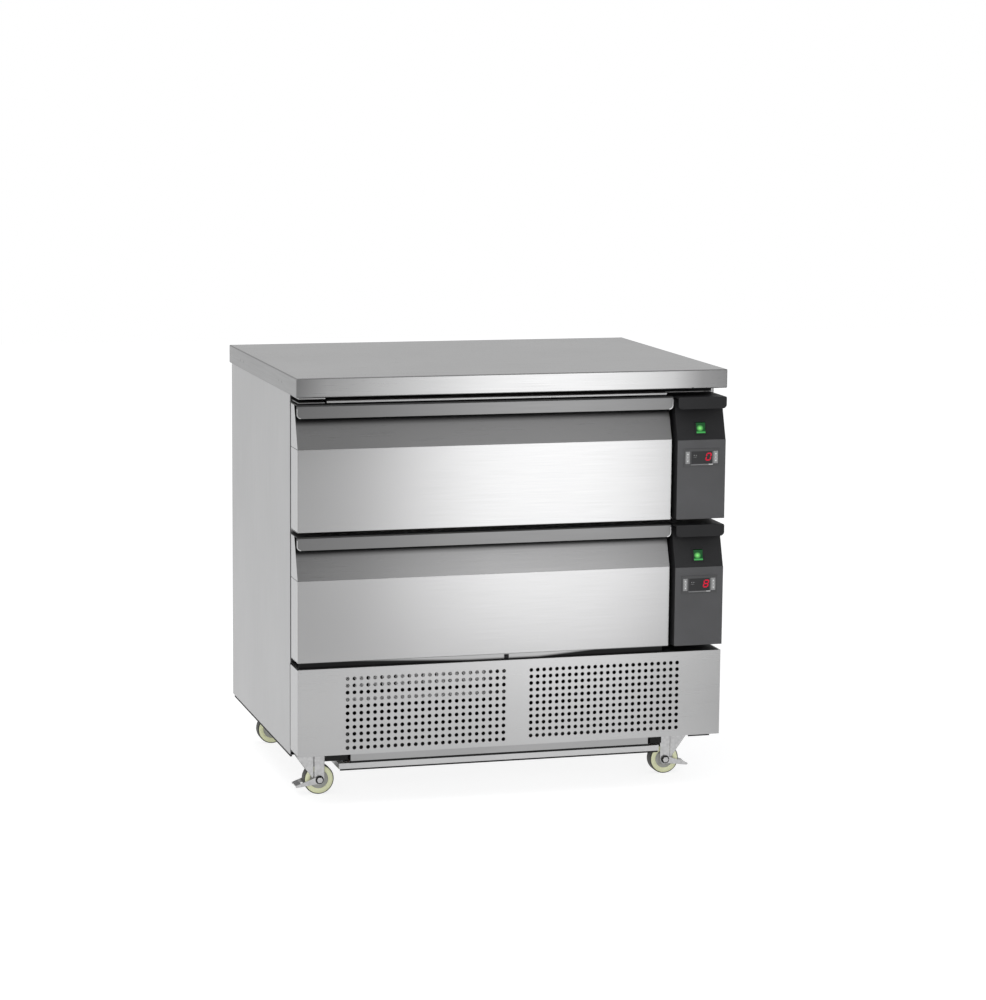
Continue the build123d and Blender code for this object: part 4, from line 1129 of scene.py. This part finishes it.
def fin_pack(name, low, high, along, pitch, tubes, fin_look, tube_look):
    """Thin fins across an axis between two corners, with tubes through them."""
    axis = "XYZ".index(along)
    count = int((high[axis] - low[axis]) // pitch)
    bm = bmesh.new()
    for k in range(count + 1):
        a, b = list(low), list(high)
        a[axis] = low[axis] + k * (high[axis] - low[axis] - fin) / count
        b[axis] = a[axis] + (end_plate if k == 0 else fin)
        if k == count:
            a[axis], b[axis] = high[axis] - end_plate, high[axis]
        add_block(bm, a, b)
    pack = place(name, mesh_of(bm), fin_look, "cabinet", smooth=0)
    start, end = low[axis] - 3.0, high[axis] + 3.0
    profile = [(start, 0.0), (start, 4.0), (start + 0.8, 4.8), (end - 0.8, 4.8), (end, 4.0), (end, 0.0)]
    for t in range(tubes):
        centre = [0.0, 0.0, low[2] + (t + 0.5) * (high[2] - low[2]) / tubes]
        centre[1 - axis] = (low[1 - axis] + high[1 - axis]) / 2
        place(f"{name}_tube_{t}", turned_mesh(profile, centre, along, 16, False), tube_look, "cabinet")
    return pack


# Black fins and tubes on the condensers: painted shade behind the grille.
condenser = ("X", 4.0, 6, "fin_black", "fin_black")
evaporator = ("Y", 6.0, 4, "fin_aluminium", "pipe_copper")
for name, node_name, pack_low, pack_high, kind in (
    ("left_condenser_pack", "condensers", (-329, -242.5, 75), (-15, -198.5, 276), condenser),
    ("right_condenser_pack", "condensers", (15, -242.5, 75), (329, -198.5, 276), condenser),
    ("lower_evaporator_pack", "evaporators", (301.5, -100, 321.2), (391, 203, 517.8), evaporator),
    ("upper_evaporator_pack", "evaporators", (301.5, -100, 581.2), (391, 203, 777.8), evaporator),
):
    pack = fin_pack(name, pack_low, pack_high, *kind)
    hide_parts(node_name)
    print(name, len(pack.data.polygons), "faces")

# %% [markdown]
# The back sheet is held by pan-head screws round its edge. Each has a small domed head with a
# driving recess, turned from one profile.

# %% Back screws
low, high = box_of("back_panel")
edge = 12
spots = [(x, z) for x in (low.x + edge, high.x - edge) for z in (135, 285, 435, 585, 735)]
spots += [(x, z) for x in (-260, 0, 260) for z in (low.z + edge, high.z - edge)]
head = [(1.5, 0.0), (1.0, 1.2), (2.4, 1.9), (2.1, 3.4), (1.0, 4.4), (0.0, 4.6), (0.0, 0.0)]
for k, (x, z) in enumerate(spots):
    screw = turned_mesh(head, (x, high.y - 0.05, z), "Y", 20, False)
    place(f"back_screw_{k:02d}", screw, "castor_zinc", "cabinet")
print("back screws", len(spots))

# %% [markdown]
# ## Castors
#
# A castor's wheel is cast resin on a grey core. Its fork is pressed from plate: a flat strip
# runs down to the axle, and a thinner web slopes to the outer side. The front two have a brake
# pedal on the same axle.


# %% Wheels
def mirrored(profile):
    """A profile of (along, radius) followed by its mirror image."""
    return profile + [(-along, radius) for along, radius in reversed(profile)]


tyre = mirrored([(-10.9, 19.0), (-12.1, 20.6), (-12.4, 27.6), (-11.6, 28.8), (-9.9, 30.2)])
tread = mirrored([(-9.1, 28.6), (-11.8, 29.0), (-10.1, 31.0)])
core = mirrored([(-13.6, 4.2), (-13.6, 8.2), (-12.6, 8.8), (-12.4, 12.6), (-10.4, 13.6), (-10.4, 18.6),
                 (-11.2, 19.1)])
axles = {}
for where in ("front_left", "front_right", "rear_left", "rear_right"):
    low, high = box_of(f"{where}_castor_wheel")
    axle = axles[where] = (low + high) / 2
    body = f"{where}_wheel"
    place(f"{where}_tyre", turned_mesh(tyre, axle), "wheel_resin", body, f"{where}_castor_wheel", smooth=50)
    place(f"{where}_tread", turned_mesh(tread, axle), "wheel_tread", body)
    place(f"{where}_core", turned_mesh(core, axle), "wheel_core", body)
print("wheels", len(axles))

# %% Forks, axles, nuts and kingpins
top, crown_half, strip_half = 87.7, 28.5, 10.5
strip_inner, strip_outer, web_outer, web_inner = 14.0, 16.5, 14.6, 13.1
rod = mirrored([(-18.8, 0.01), (-18.8, 3.4), (-18.2, 4.0)])
ring_start, ring_end = 18.9, 19.5
ring_profile = [(ring_start, 5.0), (ring_start, 8.6), (ring_end, 8.6), (ring_end, 5.0)]
pin = [(87.6, 0.01), (87.6, 5.0), (94.5, 5.0), (94.5, 0.01)]
for where, axle in axles.items():
    toward = 1 if "left" in where else -1
    body = f"{where}_fork"
    pivot_x = axle.x - 28.0 * toward
    crown_x, web_x = pivot_x + 10.0 * toward, axle.x - 11.6 * toward
    outer_x = crown_x - crown_half * toward
    web = [(web_x, top), (outer_x, top), (outer_x, top - 8), (axle.x - 13.0 * toward, axle.z + 2),
           (web_x, axle.z + 8)]
    round_end = circle(axle.x, axle.z, strip_half, 24)
    strip = round_end[12:] + round_end[:1] + [(axle.x + strip_half, top), (axle.x - strip_half, top)]
    bm = bmesh.new()
    for side in (-1, 1):
        add_prism(bm, strip, axle.y + side * strip_inner, axle.y + side * strip_outer, "Y")
        add_prism(bm, web, axle.y + side * web_inner, axle.y + side * web_outer, "Y")
    crown = rectangle(crown_x - crown_half, top - 3, crown_x + crown_half, top)
    add_prism(bm, crown, axle.y - strip_outer, axle.y + strip_outer, "Y")
    fork = place(f"{where}_fork_plates", mesh_of(bm), "castor_zinc", body, f"{where}_castor_fork")
    soften(fork, 0.5)
    place(f"{where}_axle", turned_mesh(rod, axle, steps=24), "castor_zinc", body)
    for side, end, ring_y in ((-1, "near", axle.y - ring_start - ring_end), (1, "far", axle.y)):
        bm = bmesh.new()
        add_prism(bm, circle(axle.x, axle.z, 6.4, 6), axle.y + side * 19.0, axle.y + side * 22.6, "Y")
        soften(place(f"{where}_nut_{end}", mesh_of(bm), "castor_zinc", body), 0.5)
        ring = turned_mesh(ring_profile, (axle.x, ring_y, axle.z), steps=24)
        place(f"{where}_ring_{end}", ring, "fin_black", body)
    place(f"{where}_kingpin", turned_mesh(pin, (pivot_x, axle.y, 0), "Z", 24), "castor_zinc", body)
for side in ("left", "right"):
    deburred(f"front_{side}_brake_pedal", f"front_{side}_pedal_plate", "castor_zinc", f"front_{side}_pedal",
             0.5)
print("forks", len(axles), "pedals 2")
